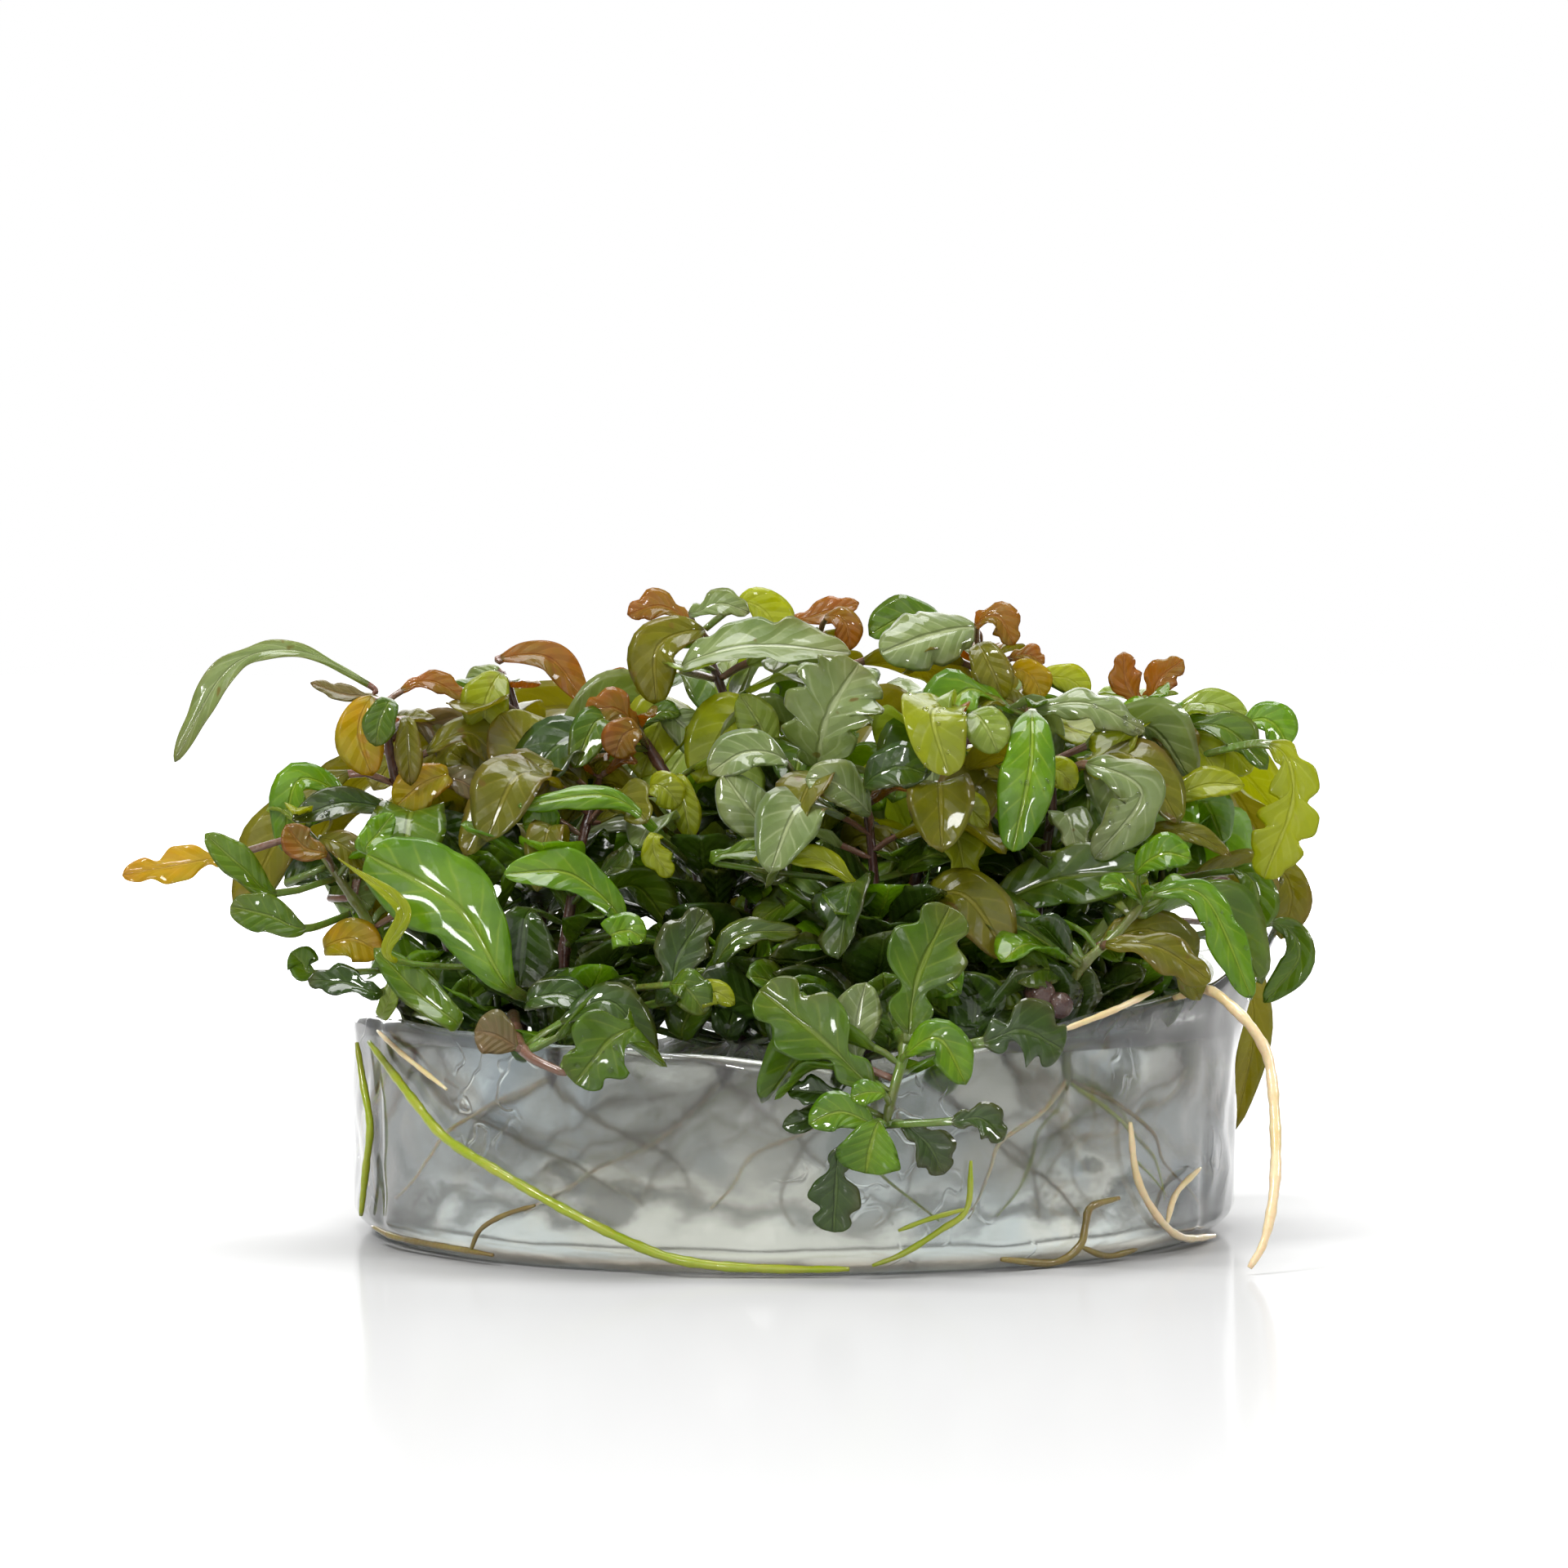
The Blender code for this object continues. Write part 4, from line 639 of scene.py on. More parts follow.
def under_canopy(blade: list[Array], room: float = 0.0) -> list[Array]:
    """Lower a blade's points where they stand higher than the canopy and some room above it."""
    for point in blade:
        point[2] = min(point[2], canopy_height(point[0]) + room)
    return blade


def grown_blade(stem: Array, leaves: int, first_turn: float, number: int,
                turn: float) -> list[Array]:
    """Set out a spiral leaf's blade, outwards and drooping from its stem.

    Args:
        stem: The stem's points.
        leaves: How many spiral leaves the stem has.
        first_turn: The direction of the first one.
        number: Which one this is.
        turn: How far it is turned out of its place in the spiral.

    Returns:
        The blade's foot, middle and tip.
    """
    share = LOWEST_LEAF + (1 - LOWEST_LEAF) * (number + 0.5) / leaves
    start = evenly(stem[1:], (share,))[0]
    angle = first_turn + number * GOLDEN_TURN + turn
    outward = outwards(angle)
    length = GROWN_LENGTH + GROWN_SPREAD * math.sin(2.1 * number + first_turn)
    foot = start + outward * GROWN_STALK + upwards(GROWN_RISE)
    middle = foot + outward * length * 0.5 + upwards(GROWN_ARCH)
    tip = foot + outward * length * GROWN_REACH + upwards(-GROWN_DROOP * length)
    return under_canopy([foot, middle, tip])


def wall_reach(angle: float, height: float, radius: float) -> float:
    """Find how far the middle of a root on the wall is from the slab's axis.

    Args:
        angle: The direction from the axis, in degrees.
        height: The root's height.
        radius: The root's radius.

    Returns:
        The distance from the axis.
    """
    slope = 2 * max(1 - height / FOOT_BEVEL, 0)
    return wall_radius(angle, height) + (GAP + radius) * math.hypot(1, slope)


def on_wall(across: float, down: float, radius: float) -> Array:
    """Find a root's middle where the front view shows it on the slab's wall.

    Args:
        across: Distance from the view's left edge.
        down: Distance from the view's top edge.
        radius: The root's radius.

    Returns:
        The point in millimetres.
    """
    depth = -GEL_RADIUS
    for _ in range(12):
        point = from_picture(across, down, depth)
        angle = math.degrees(math.atan2(depth, point[0]))
        reach = wall_reach(angle, max(point[2], radius), radius)
        depth = -math.sqrt(max(reach ** 2 - point[0] ** 2, 9.0))
    height = max(from_picture(across, down, depth)[2], radius + 0.06)
    angle = math.atan2(depth, point[0])
    reach = wall_reach(math.degrees(angle), height, radius)
    return np.array([reach * math.cos(angle), reach * math.sin(angle), height])


def carried_frames(points: Array, first_side: Array) -> list[tuple[Array, ...]]:
    """Carry a direction along a path without twist.

    Args:
        points: The path.
        first_side: The side direction at its start.

    Returns:
        Tangent, side and upward directions at each point.
    """
    side = first_side
    found = []
    for tangent in np.gradient(points, axis=0):
        tangent = unit(tangent)
        side = unit(side - tangent * side.dot(tangent))
        found.append((tangent, side, np.cross(side, tangent)))
    return found


class NodeTable:
    """A node tree that is filled in with short calls."""

    def __init__(self, tree: bpy.types.NodeTree) -> None:
        """Start on an empty tree."""
        self.tree = tree
        tree.nodes.clear()

    def add(self, kind: str, settings: dict[str, object] | None = None, **inputs: object) -> bpy.types.Node:
        """Add a node.

        Args:
            kind: Its type, without the leading "ShaderNode".
            settings: Its own settings.
            **inputs: What goes in by socket name, with _ for a space: a value, or another node's socket.

        Returns:
            The node.
        """
        node = self.tree.nodes.new("ShaderNode" + kind)
        for key, value in (settings or {}).items():
            setattr(node, key, value)
        for key, value in inputs.items():
            self.put(node.inputs[key.replace("_", " ")], value)
        return node

    def put(self, socket: Socket, value: object) -> None:
        """Set a socket to a value, or link another node's socket to it."""
        if isinstance(value, Socket):
            self.tree.links.new(value, socket)
        elif isinstance(value, tuple) and len(value) == 3 and socket.type == "RGBA":
            socket.default_value = (*value, 1.0)
        else:
            socket.default_value = value

    def math(self, operation: str, first: object, second: object = 0.0) -> Socket:
        """Return the outcome of one sum on one or two values."""
        node = self.add("Math", {"operation": operation})
        self.put(node.inputs[0], first)
        self.put(node.inputs[1], second)
        return node.outputs[0]

    def times(self, first: object, second: object) -> Socket:
        """Return one value times another."""
        return self.math("MULTIPLY", first, second)

    def plus(self, first: object, second: object) -> Socket:
        """Return one value plus another."""
        return self.math("ADD", first, second)

    def minus(self, first: object, second: object) -> Socket:
        """Return one value less another."""
        return self.math("SUBTRACT", first, second)

    def power(self, first: object, second: object) -> Socket:
        """Return one value to the power of another."""
        return self.math("POWER", first, second)

    def ramp(self, value: object, low: float, high: float, start: float = 0.0,
             end: float = 1.0) -> Socket:
        """Return a value that goes smoothly from start to end as another goes from low to high."""
        node = self.add("MapRange", {"interpolation_type": "SMOOTHSTEP"}, Value=value, From_Min=low,
                        From_Max=high, To_Min=start, To_Max=end)
        return node.outputs[0]

    def blend(self, share: object, first: object, second: object) -> Socket:
        """Return a colour between two, by a share."""
        node = self.add("Mix", {"data_type": "RGBA"})
        for number, value in ((0, share), (6, first), (7, second)):
            self.put(node.inputs[number], value)
        return node.outputs[2]

    def place(self) -> Socket:
        """Return the place on the object, in metres."""
        return self.add("TexCoord").outputs["Object"]

    def noise(self, scale: object, detail: float = 2.0) -> Socket:
        """Return a cloudy value that is fixed to the object, with patches of 1 / scale metres."""
        return self.add("TexNoise", Vector=self.place(), Scale=scale, Detail=detail).outputs[0]

    def bump(self, strength: float, distance: float, height: object) -> Socket:
        """Return the normal of a surface with a relief."""
        return self.add("Bump", Strength=strength, Distance=distance, Height=height).outputs[0]

    def shader_mix(self, share: float, first: bpy.types.Node, second: bpy.types.Node) -> bpy.types.Node:
        """Add a mix of two shaders, by a share."""
        mix = self.add("MixShader")
        for number, value in enumerate((share, first.outputs[0], second.outputs[0])):
            self.put(mix.inputs[number], value)
        return mix


def start_group(name: str, inputs: dict[str, str],
                outputs: dict[str, str]) -> tuple[NodeTable, dict[str, Socket], bpy.types.Node]:
    """Make a shader node group.

    Args:
        name: The group's name.
        inputs: Its inputs with their socket types.
        outputs: Its outputs with theirs.

    Returns:
        The table to fill in, its inputs by name, and the node that takes the outputs.
    """
    tree = bpy.data.node_groups.new(name, "ShaderNodeTree")
    for way, sockets in (("INPUT", inputs), ("OUTPUT", outputs)):
        for key, kind in sockets.items():
            tree.interface.new_socket(key, in_out=way, socket_type=kind)
    table = NodeTable(tree)
    source = tree.nodes.new("NodeGroupInput")
    sink = tree.nodes.new("NodeGroupOutput")
    return table, {key: source.outputs[key] for key in inputs}, sink


class LeafSurface:
    """The shared pattern of a leaf: its midrib and side veins, mottling, a paler middle that is the leaf's
    own tone and also a painted glow of light through the blade, and brown at the margin.
    """

    NAME = "Leaf surface"
    # How fine each noise is, in patches a metre
    WANDER = 260.0
    CLOUDS = 230.0
    GRAIN = 900.0
    WEAR = 140.0
    SPECKS = 620.0
    QUILTING = 480.0
    PORES = 1500.0
    GLOSS = 400.0

    def __init__(self) -> None:
        """Build the node group."""
        table, given, out = start_group(
            self.NAME,
            dict.fromkeys(("Base", "Shade", "Vein", "Edge", "Stalk"), COLOUR_SOCKET)
            | dict.fromkeys(("Browning", "Vein Count", "Mottle", "Spots"), VALUE_SOCKET),
            {"Colour": COLOUR_SOCKET, "Height": VALUE_SOCKET, "Roughness": VALUE_SOCKET},
        )
        place = table.add("SeparateXYZ", Vector=table.add("UVMap", {"uv_map": BLADE_MAP}).outputs[0])
        aside = table.times(table.math("ABSOLUTE", table.minus(place.outputs[0], 0.5)), 2.0)
        along = place.outputs[1]
        midrib = table.ramp(aside, 0.03, 0.11, 1.0, 0.0)
        forward = table.times(table.power(aside, 0.8), 0.20)
        phase = table.times(table.minus(along, forward), given["Vein Count"])
        apart = table.math("PINGPONG", table.plus(phase, table.times(table.noise(self.WANDER), 0.5)), 0.5)
        inward = table.ramp(aside, 0.5, 1.0, 1.0, 0.0)
        side_veins = table.times(table.ramp(apart, 0.02, 0.10, 1.0, 0.0), inward)
        veins = table.math("MAXIMUM", midrib, table.times(side_veins, 0.6))
        rim = table.math("MAXIMUM", table.power(aside, 3.0), table.power(along, 5.0))
        worn = table.times(rim, table.ramp(table.noise(self.WEAR, 3.0), 0.42, 0.62))
        specks = table.ramp(table.noise(self.SPECKS, 1.0), 0.70, 0.74)
        colour = given["Base"]
        for share, tone in (
            (table.times(table.ramp(table.noise(self.CLOUDS, 4.0), 0.38, 0.62), given["Mottle"]), "Shade"),
            (table.ramp(table.noise(self.GRAIN, 5.0), 0.3, 0.75, 0.0, 0.35), "Shade"),
            # Paler towards the midrib: the leaf's own lighter middle, and a painted glow of light coming
            # through the blade
            (table.times(table.power(table.minus(1.0, aside), 2.0), 0.22), "Vein"),
            (table.times(veins, 0.55), "Vein"),
            (table.times(worn, given["Browning"]), "Edge"),
            (table.times(specks, given["Spots"]), "Edge"),
            (table.ramp(along, 0.0, 0.08, 0.7, 0.0), "Stalk"),
        ):
            colour = table.blend(share, colour, given[tone])
        height = table.minus(table.times(apart, 1.2), table.times(midrib, 1.4))
        height = table.plus(height, table.times(table.noise(self.QUILTING, 2.0), 1.1))
        height = table.plus(height, table.times(table.noise(self.PORES, 2.0), 0.3))
        gloss = table.ramp(table.noise(self.GLOSS, 3.0), 0.3, 0.7, 0.22, 0.42)
        for key, value in (("Colour", colour), ("Height", height), ("Roughness", gloss)):
            table.put(out.inputs[key], value)


class LivingSurface:
    """The shared pattern of stems, roots and callus: blotches of a second colour and a lumpy skin."""

    NAME = "Living surface"
    GRAIN = 2600.0

    def __init__(self) -> None:
        """Build the node group."""
        table, given, out = start_group(
            self.NAME,
            {"Base": COLOUR_SOCKET, "Blotch": COLOUR_SOCKET, "Spread": VALUE_SOCKET, "Scale": VALUE_SOCKET},
            {"Colour": COLOUR_SOCKET, "Height": VALUE_SOCKET},
        )
        cloud = table.noise(given["Scale"], 3.0)
        grain = table.noise(self.GRAIN, 3.0)
        share = table.times(table.ramp(cloud, 0.38, 0.66), given["Spread"])
        colour = table.blend(share, given["Base"], given["Blotch"])
        colour = table.blend(table.ramp(grain, 0.45, 0.8, 0.0, 0.4), colour, given["Blotch"])
        table.put(out.inputs["Colour"], colour)
        table.put(out.inputs["Height"], table.plus(table.times(cloud, 1.5), grain))


class Finish:
    """A finish that makes its material once and hands it out."""

    name: str

    def material(self) -> bpy.types.Material:
        """Return the finish's material, made the first time that it is asked for."""
        found = bpy.data.materials.get(self.name)
        if found is None:
            found = bpy.data.materials.new(self.name)
            found.use_nodes = True
            self.fill(NodeTable(found.node_tree))
        return found

    def fill(self, table: NodeTable) -> None:
        """Put the finish's nodes into its material."""
        raise NotImplementedError


@dataclass(frozen=True)
class LeafFinish(Finish):
    """A wet leaf: its colours, the light that comes through it, and its gloss."""

    name: str
    base: Colour
    shade: Colour
    vein: Colour
    glow: Colour
    through: float = 0.35
    edge: Colour = (0.16, 0.07, 0.02)
    stalk: Colour = (0.070, 0.085, 0.012)
    browning: float = 0.25
    mottle: float = 0.6
    vein_count: float = 6.0
    sheen: float = 0.0
    coat: float = 0.6
    spots: float = 0.0

    def fill(self, table: NodeTable) -> None:
        """Mix a glossy surface with the light that comes through the leaf."""
        pattern = table.add(
            "Group", {"node_tree": bpy.data.node_groups[LeafSurface.NAME]}, Base=self.base, Shade=self.shade,
            Vein=self.vein, Edge=self.edge, Stalk=self.stalk, Browning=self.browning,
            Vein_Count=self.vein_count, Mottle=self.mottle, Spots=self.spots,
        )
        normal = table.bump(0.7, SKIN_RELIEF, pattern.outputs["Height"])
        skin = table.add(
            "BsdfPrincipled", Base_Color=pattern.outputs["Colour"], Roughness=pattern.outputs["Roughness"],
            IOR=1.42, Specular_IOR_Level=0.3, Normal=normal, Coat_Weight=self.coat, Coat_Roughness=0.05,
            Sheen_Weight=self.sheen, Sheen_Roughness=0.4, Sheen_Tint=(0.9, 1.0, 0.92),
        )
        glow = table.add("BsdfTranslucent", Color=self.glow, Normal=normal)
        mix = table.shader_mix(self.through, skin, glow)
        table.add("OutputMaterial", Surface=mix.outputs[0])


@dataclass(frozen=True)
class LivingFinish(Finish):
    """Stem, root or callus: two colours in blotches on a slightly lumpy, wet skin."""

    name: str
    base: Colour
    blotch: Colour
    spread: float = 0.5
    scale: float = 300.0
    roughness: float = 0.3
    flesh: float = 0.15
    lumps: float = 0.5

    def fill(self, table: NodeTable) -> None:
        """Make a soft, wet skin."""
        pattern = table.add(
            "Group", {"node_tree": bpy.data.node_groups[LivingSurface.NAME]}, Base=self.base,
            Blotch=self.blotch, Spread=self.spread, Scale=self.scale,
        )
        skin = table.add(
            "BsdfPrincipled", Base_Color=pattern.outputs["Colour"], Roughness=self.roughness, IOR=1.4,
            Normal=table.bump(self.lumps, SKIN_RELIEF, pattern.outputs["Height"]), Coat_Weight=0.6,
            Coat_Roughness=0.08, Subsurface_Weight=self.flesh, Subsurface_Scale=0.001,
        )
        table.add("OutputMaterial", Surface=skin.outputs[0])


@dataclass(frozen=True)
class ClearFinish(Finish):
    """A clear, wet body: the gel, or a drop of water."""

    name: str
    tint: Colour
    ior: float
    roughness: float
    density: float
    ripple: float
    coat: float
    painted_reflection_and_amber_line: float = 0.0

    def fill(self, table: NodeTable) -> None:
        """Let light through a rippled skin, with a little taken away inside."""
        body = table.add(
            "BsdfPrincipled", Base_Color=self.colour(table), Roughness=self.roughness, IOR=self.ior,
            Transmission_Weight=1.0, Normal=table.bump(self.ripple, RIPPLE_RELIEF, self.relief(table)),
            Coat_Weight=self.coat, Coat_Roughness=0.02,
        )
        volume = table.add("VolumeAbsorption", Color=self.tint, Density=self.density)
        table.add("OutputMaterial", Surface=body.outputs[0], Volume=volume.outputs[0])

    def relief(self, table: NodeTable) -> Socket:
        """Return the skin's height: wide and fine swells, with sharp folds here and there."""
        swell = table.plus(table.noise(55.0, 2.0), table.times(table.noise(240.0, 3.0), 0.25))
        fold = table.math("ABSOLUTE", table.minus(table.noise(330.0, 1.0), 0.5))
        folded = table.ramp(table.noise(70.0, 1.0), 0.56, 0.64)
        return table.plus(swell, table.times(table.ramp(fold, 0.0, 0.04, 0.12, 0.0), folded))

    def colour(self, table: NodeTable) -> Socket:
        """Return the skin's colour: white with bluish patches, a painted reflection of the surroundings seen
        in the gel, and an amber line at the bottom edge.
        """
        # The bluish patches paint the reflections of the surroundings that the gel shows
        patches = table.times(table.ramp(table.noise(75.0, 2.0), 0.50, 0.64), self.painted_reflection_and_amber_line)
        place = table.add("SeparateXYZ", Vector=table.place())
        squares = table.plus(table.power(place.outputs[0], 2.0), table.power(place.outputs[1], 2.0))
        low = table.ramp(place.outputs[2], 0.0005, 0.0016, 1.0, 0.0)
        outer = table.ramp(table.math("SQRT", squares), 0.0325, 0.0345)
        stain = table.times(table.times(low, outer), self.painted_reflection_and_amber_line)
        clear = table.blend(patches, (1.0, 1.0, 1.0), (0.66, 0.80, 1.0))
        return table.blend(stain, clear, (0.34, 0.14, 0.01))


@dataclass(frozen=True)
class StudioFinish(Finish):
    """The pale floor, with a faint reflection, that turns white with distance."""

    name: str = "Studio floor"
    colour: Colour = (0.50, 0.50, 0.50)
    shine: float = 0.10

    def fill(self, table: NodeTable) -> None:
        """Mix a matt floor with a faint reflection and the white of the room."""
        away = table.add("VectorMath", {"operation": "LENGTH"}, Vector=table.place()).outputs["Value"]
        matt = table.add("BsdfDiffuse", Color=self.colour)
        shiny = table.add("BsdfGlossy", Color=(0.9, 0.9, 0.9), Roughness=0.12)
        floor = table.shader_mix(self.shine, matt, shiny)
        seen = table.add("LightPath").outputs["Is Camera Ray"]
        glow = table.times(seen, table.ramp(away, 0.06, 0.45, 0.0, 1.0))
        white = table.add("Emission", Color=(1.0, 1.0, 1.0), Strength=glow)
        whole = table.add("AddShader")
        table.put(whole.inputs[0], floor.outputs[0])
        table.put(whole.inputs[1], white.outputs[0])
        table.add("OutputMaterial", Surface=whole.outputs[0])


LEAF_FINISHES: dict[Tint, LeafFinish] = {
    BRIGHT: LeafFinish("Bright green leaf", (0.135, 0.275, 0.002), (0.050, 0.140, 0.002), (0.34, 0.44, 0.03),
        (0.50, 0.76, 0.01), browning=0.1, mottle=0.75, coat=0.8),
    GREEN: LeafFinish("Green leaf", (0.082, 0.165, 0.003), (0.034, 0.082, 0.003), (0.23, 0.30, 0.03),
        (0.46, 0.64, 0.01), browning=0.35, mottle=0.75, coat=0.75),
    # Dark green for dark leaves, and also painted shade on the leaves low in the foliage
    DARK: LeafFinish("Dark green leaf", (0.034, 0.076, 0.006), (0.014, 0.036, 0.003), (0.09, 0.15, 0.02),
        (0.26, 0.38, 0.01), through=0.25, coat=1.0),
    # Pale grey-green base and veins paint the top light's sheen, on top of the shader's own sheen
    SILVER: LeafFinish("Silvery leaf", (0.235, 0.300, 0.105), (0.100, 0.160, 0.036), (0.52, 0.58, 0.30),
        (0.50, 0.60, 0.04), sheen=0.25, browning=0.4, coat=0.9, spots=0.8),
    YELLOW: LeafFinish("Yellow-green leaf", (0.31, 0.35, 0.007), (0.17, 0.23, 0.005), (0.50, 0.54, 0.10),
        (0.76, 0.78, 0.02), through=0.5, spots=0.3),
    OLIVE: LeafFinish("Olive leaf", (0.160, 0.165, 0.007), (0.085, 0.095, 0.005), (0.28, 0.25, 0.03),
        (0.62, 0.56, 0.02), through=0.42, browning=0.7, spots=0.6),
    COPPER: LeafFinish("Copper leaf", (0.240, 0.092, 0.009), (0.135, 0.125, 0.007), (0.36, 0.20, 0.035),
        (0.85, 0.40, 0.02), through=0.42, browning=0.6, mottle=1.0, spots=0.5),
    AMBER: LeafFinish("Amber leaf", (0.43, 0.25, 0.005), (0.25, 0.26, 0.006), (0.55, 0.40, 0.05),
        (0.90, 0.66, 0.02), through=0.48, edge=(0.30, 0.09, 0.01), browning=0.9,
        mottle=1.0, spots=0.6),
    PINK: LeafFinish("Pink-brown leaf", (0.190, 0.130, 0.070), (0.105, 0.125, 0.035), (0.34, 0.21, 0.10),
        (0.58, 0.46, 0.13), through=0.35, browning=0.4, spots=0.4),
    PALE: LeafFinish("Pale leaf", (0.26, 0.34, 0.065), (0.15, 0.23, 0.025), (0.46, 0.52, 0.16),
        (0.66, 0.76, 0.06), through=0.42),
}

STEM_FINISHES: dict[Tint, LivingFinish] = {
    RED_BROWN: LivingFinish("Red-brown stem", (0.050, 0.016, 0.012), (0.090, 0.040, 0.020), 0.6),
    PALE: LivingFinish("Pale green stem", (0.15, 0.20, 0.035), (0.10, 0.075, 0.025), 0.6),
    OLIVE: LivingFinish("Olive stem", (0.10, 0.18, 0.020), (0.11, 0.090, 0.020), 0.5),
    PINK: LivingFinish("Pink stem", (0.16, 0.075, 0.050), (0.12, 0.090, 0.045), 0.5),
    ROOT_GREEN: LivingFinish("Green root", (0.28, 0.36, 0.008), (0.36, 0.40, 0.040), 0.7,
        flesh=0.3, lumps=0.35),
    ROOT_CREAM: LivingFinish("Cream root", (0.78, 0.62, 0.38), (0.62, 0.50, 0.20), 0.6,
        flesh=0.35, lumps=0.35),
    ROOT_OLIVE: LivingFinish("Olive root", (0.24, 0.185, 0.040), (0.14, 0.10, 0.030), 0.7,
        flesh=0.3, lumps=0.4),
}

# Leaves whose stalks are pinkish and not green
WARM_TINTS = (COPPER, AMBER, PINK, OLIVE, SILVER)

CALLUS = LivingFinish("Callus", (0.060, 0.030, 0.028), (0.12, 0.065, 0.045), 0.7, 700.0, 0.4, 0.15, 0.9)
# The gel's last number sets how strongly its bluish patches, a painted reflection, and its amber bottom line
# show
GEL = ClearFinish("Clear gel", (0.52, 0.53, 0.49), 1.34, 0.24, 46.0, 0.42, 1.0, 0.75)
WATER = ClearFinish("Water drop", (1.0, 1.0, 1.0), 1.33, 0.0, 0.0, 0.0, 0.0)
STUDIO = StudioFinish()


def faced_frames(points: Array, upward: Array, middle: int) -> list[tuple[Array, ...]]:
    """Carry a leaf's directions both ways from its middle, where its face looks upward.

    Args:
        points: The leaf's centre line.
        upward: The direction that its face looks in.
        middle: The number of the point where it does.

    Returns:
        Tangent, side and upward directions at each point.
    """
    tangents = [unit(tangent) for tangent in np.gradient(points, axis=0)]
    sides = {middle: unit(np.cross(tangents[middle], upward))}
    for order in (range(middle + 1, len(points)), range(middle - 1, -1, -1)):
        side = sides[middle]
        for number in order:
            side = unit(side - tangents[number] * side.dot(tangents[number]))
            sides[number] = side
    return [(tangent, sides[row], np.cross(sides[row], tangent)) for row, tangent in enumerate(tangents)]


def signed_volume(points: Array, faces: Faces) -> float:
    """Return a closed form's volume, which is negative if its faces point inwards."""
    corners = [(face[0], face[step], face[step + 1]) for face in faces for step in range(1, len(face) - 1)]
    first, second, third = (points[index] for index in np.array(corners).T)
    return float(np.einsum("ij,ij->i", first, np.cross(second, third)).sum() / 6)


class Draft:
    """Points, faces, blade coordinates and finishes that are gathered into one piece."""

    def __init__(self) -> None:
        """Start with nothing."""
        self.points: list[Array] = []
        self.faces: Faces = []
        self.places: list[Array] = []
        self.slots: list[int] = []
        self.finishes: list[Finish] = []
        self.count = 0

    def add(self, points: Array, faces: Faces, finish: Finish) -> None:
        """Add one closed form.

        Args:
            points: Its points in millimetres.
            faces: Its faces, counted from its own first point.
            finish: The finish of its surface.
        """
        self.gather(points, faces, np.zeros((len(points), 2)))
        self.slots.extend([self.slot(finish)] * len(faces))

    def add_leaf(self, points: Array, faces: Faces, places: Array, tint: Tint) -> None:
        """Add one leaf, with its stalk in the colour of a stem.

        Args:
            points: Its points in millimetres.
            faces: Its faces, each with four corners.
            places: Its blade coordinates, one pair for each point, below 0 along on the stalk.
            tint: The leaf's colour.
        """
        self.gather(points, faces, places)
        blade = self.slot(LEAF_FINISHES[tint])
        stalk = self.slot(STEM_FINISHES[PINK if tint in WARM_TINTS else OLIVE])
        on_stalk = places[np.array(faces), 1].max(axis=1) <= 0
        self.slots.extend(np.where(on_stalk, stalk, blade).tolist())

    def gather(self, points: Array, faces: Faces, places: Array) -> None:
        """Take in a closed form's points, faces and blade coordinates, with its faces turned outwards."""
        if signed_volume(points, faces) < 0:
            faces = [tuple(reversed(face)) for face in faces]
        self.points.append(points)
        self.places.append(places)
        self.faces.extend(tuple(index + self.count for index in face) for face in faces)
        self.count += len(points)

    def slot(self, finish: Finish) -> int:
        """Return the number of a finish's slot in the piece."""
        if finish not in self.finishes:
            self.finishes.append(finish)
        return self.finishes.index(finish)

    def piece(self, name: str) -> bpy.types.Object:
        """Make the gathered forms into one object."""
        mesh = bpy.data.meshes.new(name)
        points = np.vstack(self.points) * MM
        mesh.from_pydata(points.tolist(), [], self.faces)
        mesh.shade_smooth()
        mesh.polygons.foreach_set("material_index", self.slots)
        corners = np.zeros(len(mesh.loops), np.int32)
        mesh.loops.foreach_get("vertex_index", corners)
        layer = mesh.uv_layers.new(name=BLADE_MAP)
        layer.data.foreach_set("uv", np.vstack(self.places)[corners].astype(np.float32).ravel())
        for finish in self.finishes:
            mesh.materials.append(finish.material())
        return in_scene(name, mesh)


def tube(points: Array, radii: Array, sides: int) -> tuple[Array, Faces]:
    """Make a round closed tube.

    Args:
        points: The points along its middle.
        radii: Its radius at each.
        sides: How many sides it has.

    Returns:
        Its points and faces.
    """
    tangent = unit(points[1] - points[0])
    helper = np.array([1.0, 0.0, 0.0]) if abs(tangent[0]) < 0.8 else np.array([0.0, 1.0, 0.0])
    turns = np.arange(sides) * 2 * math.pi / sides
    rings = [
        point + radius * (np.outer(np.cos(turns), side) + np.outer(np.sin(turns), up))
        for point, radius, (_, side, up) in zip(points, radii, carried_frames(points, helper))
    ]
    faces = [
        (row * sides + side, row * sides + (side + 1) % sides,
         (row + 1) * sides + (side + 1) % sides, (row + 1) * sides + side)
        for row in range(len(points) - 1) for side in range(sides)
    ]
    last = (len(points) - 1) * sides
    faces.append(tuple(reversed(range(sides))))
    faces.append(tuple(last + side for side in range(sides)))
    return np.vstack(rings), [tuple(reversed(face)) for face in faces]


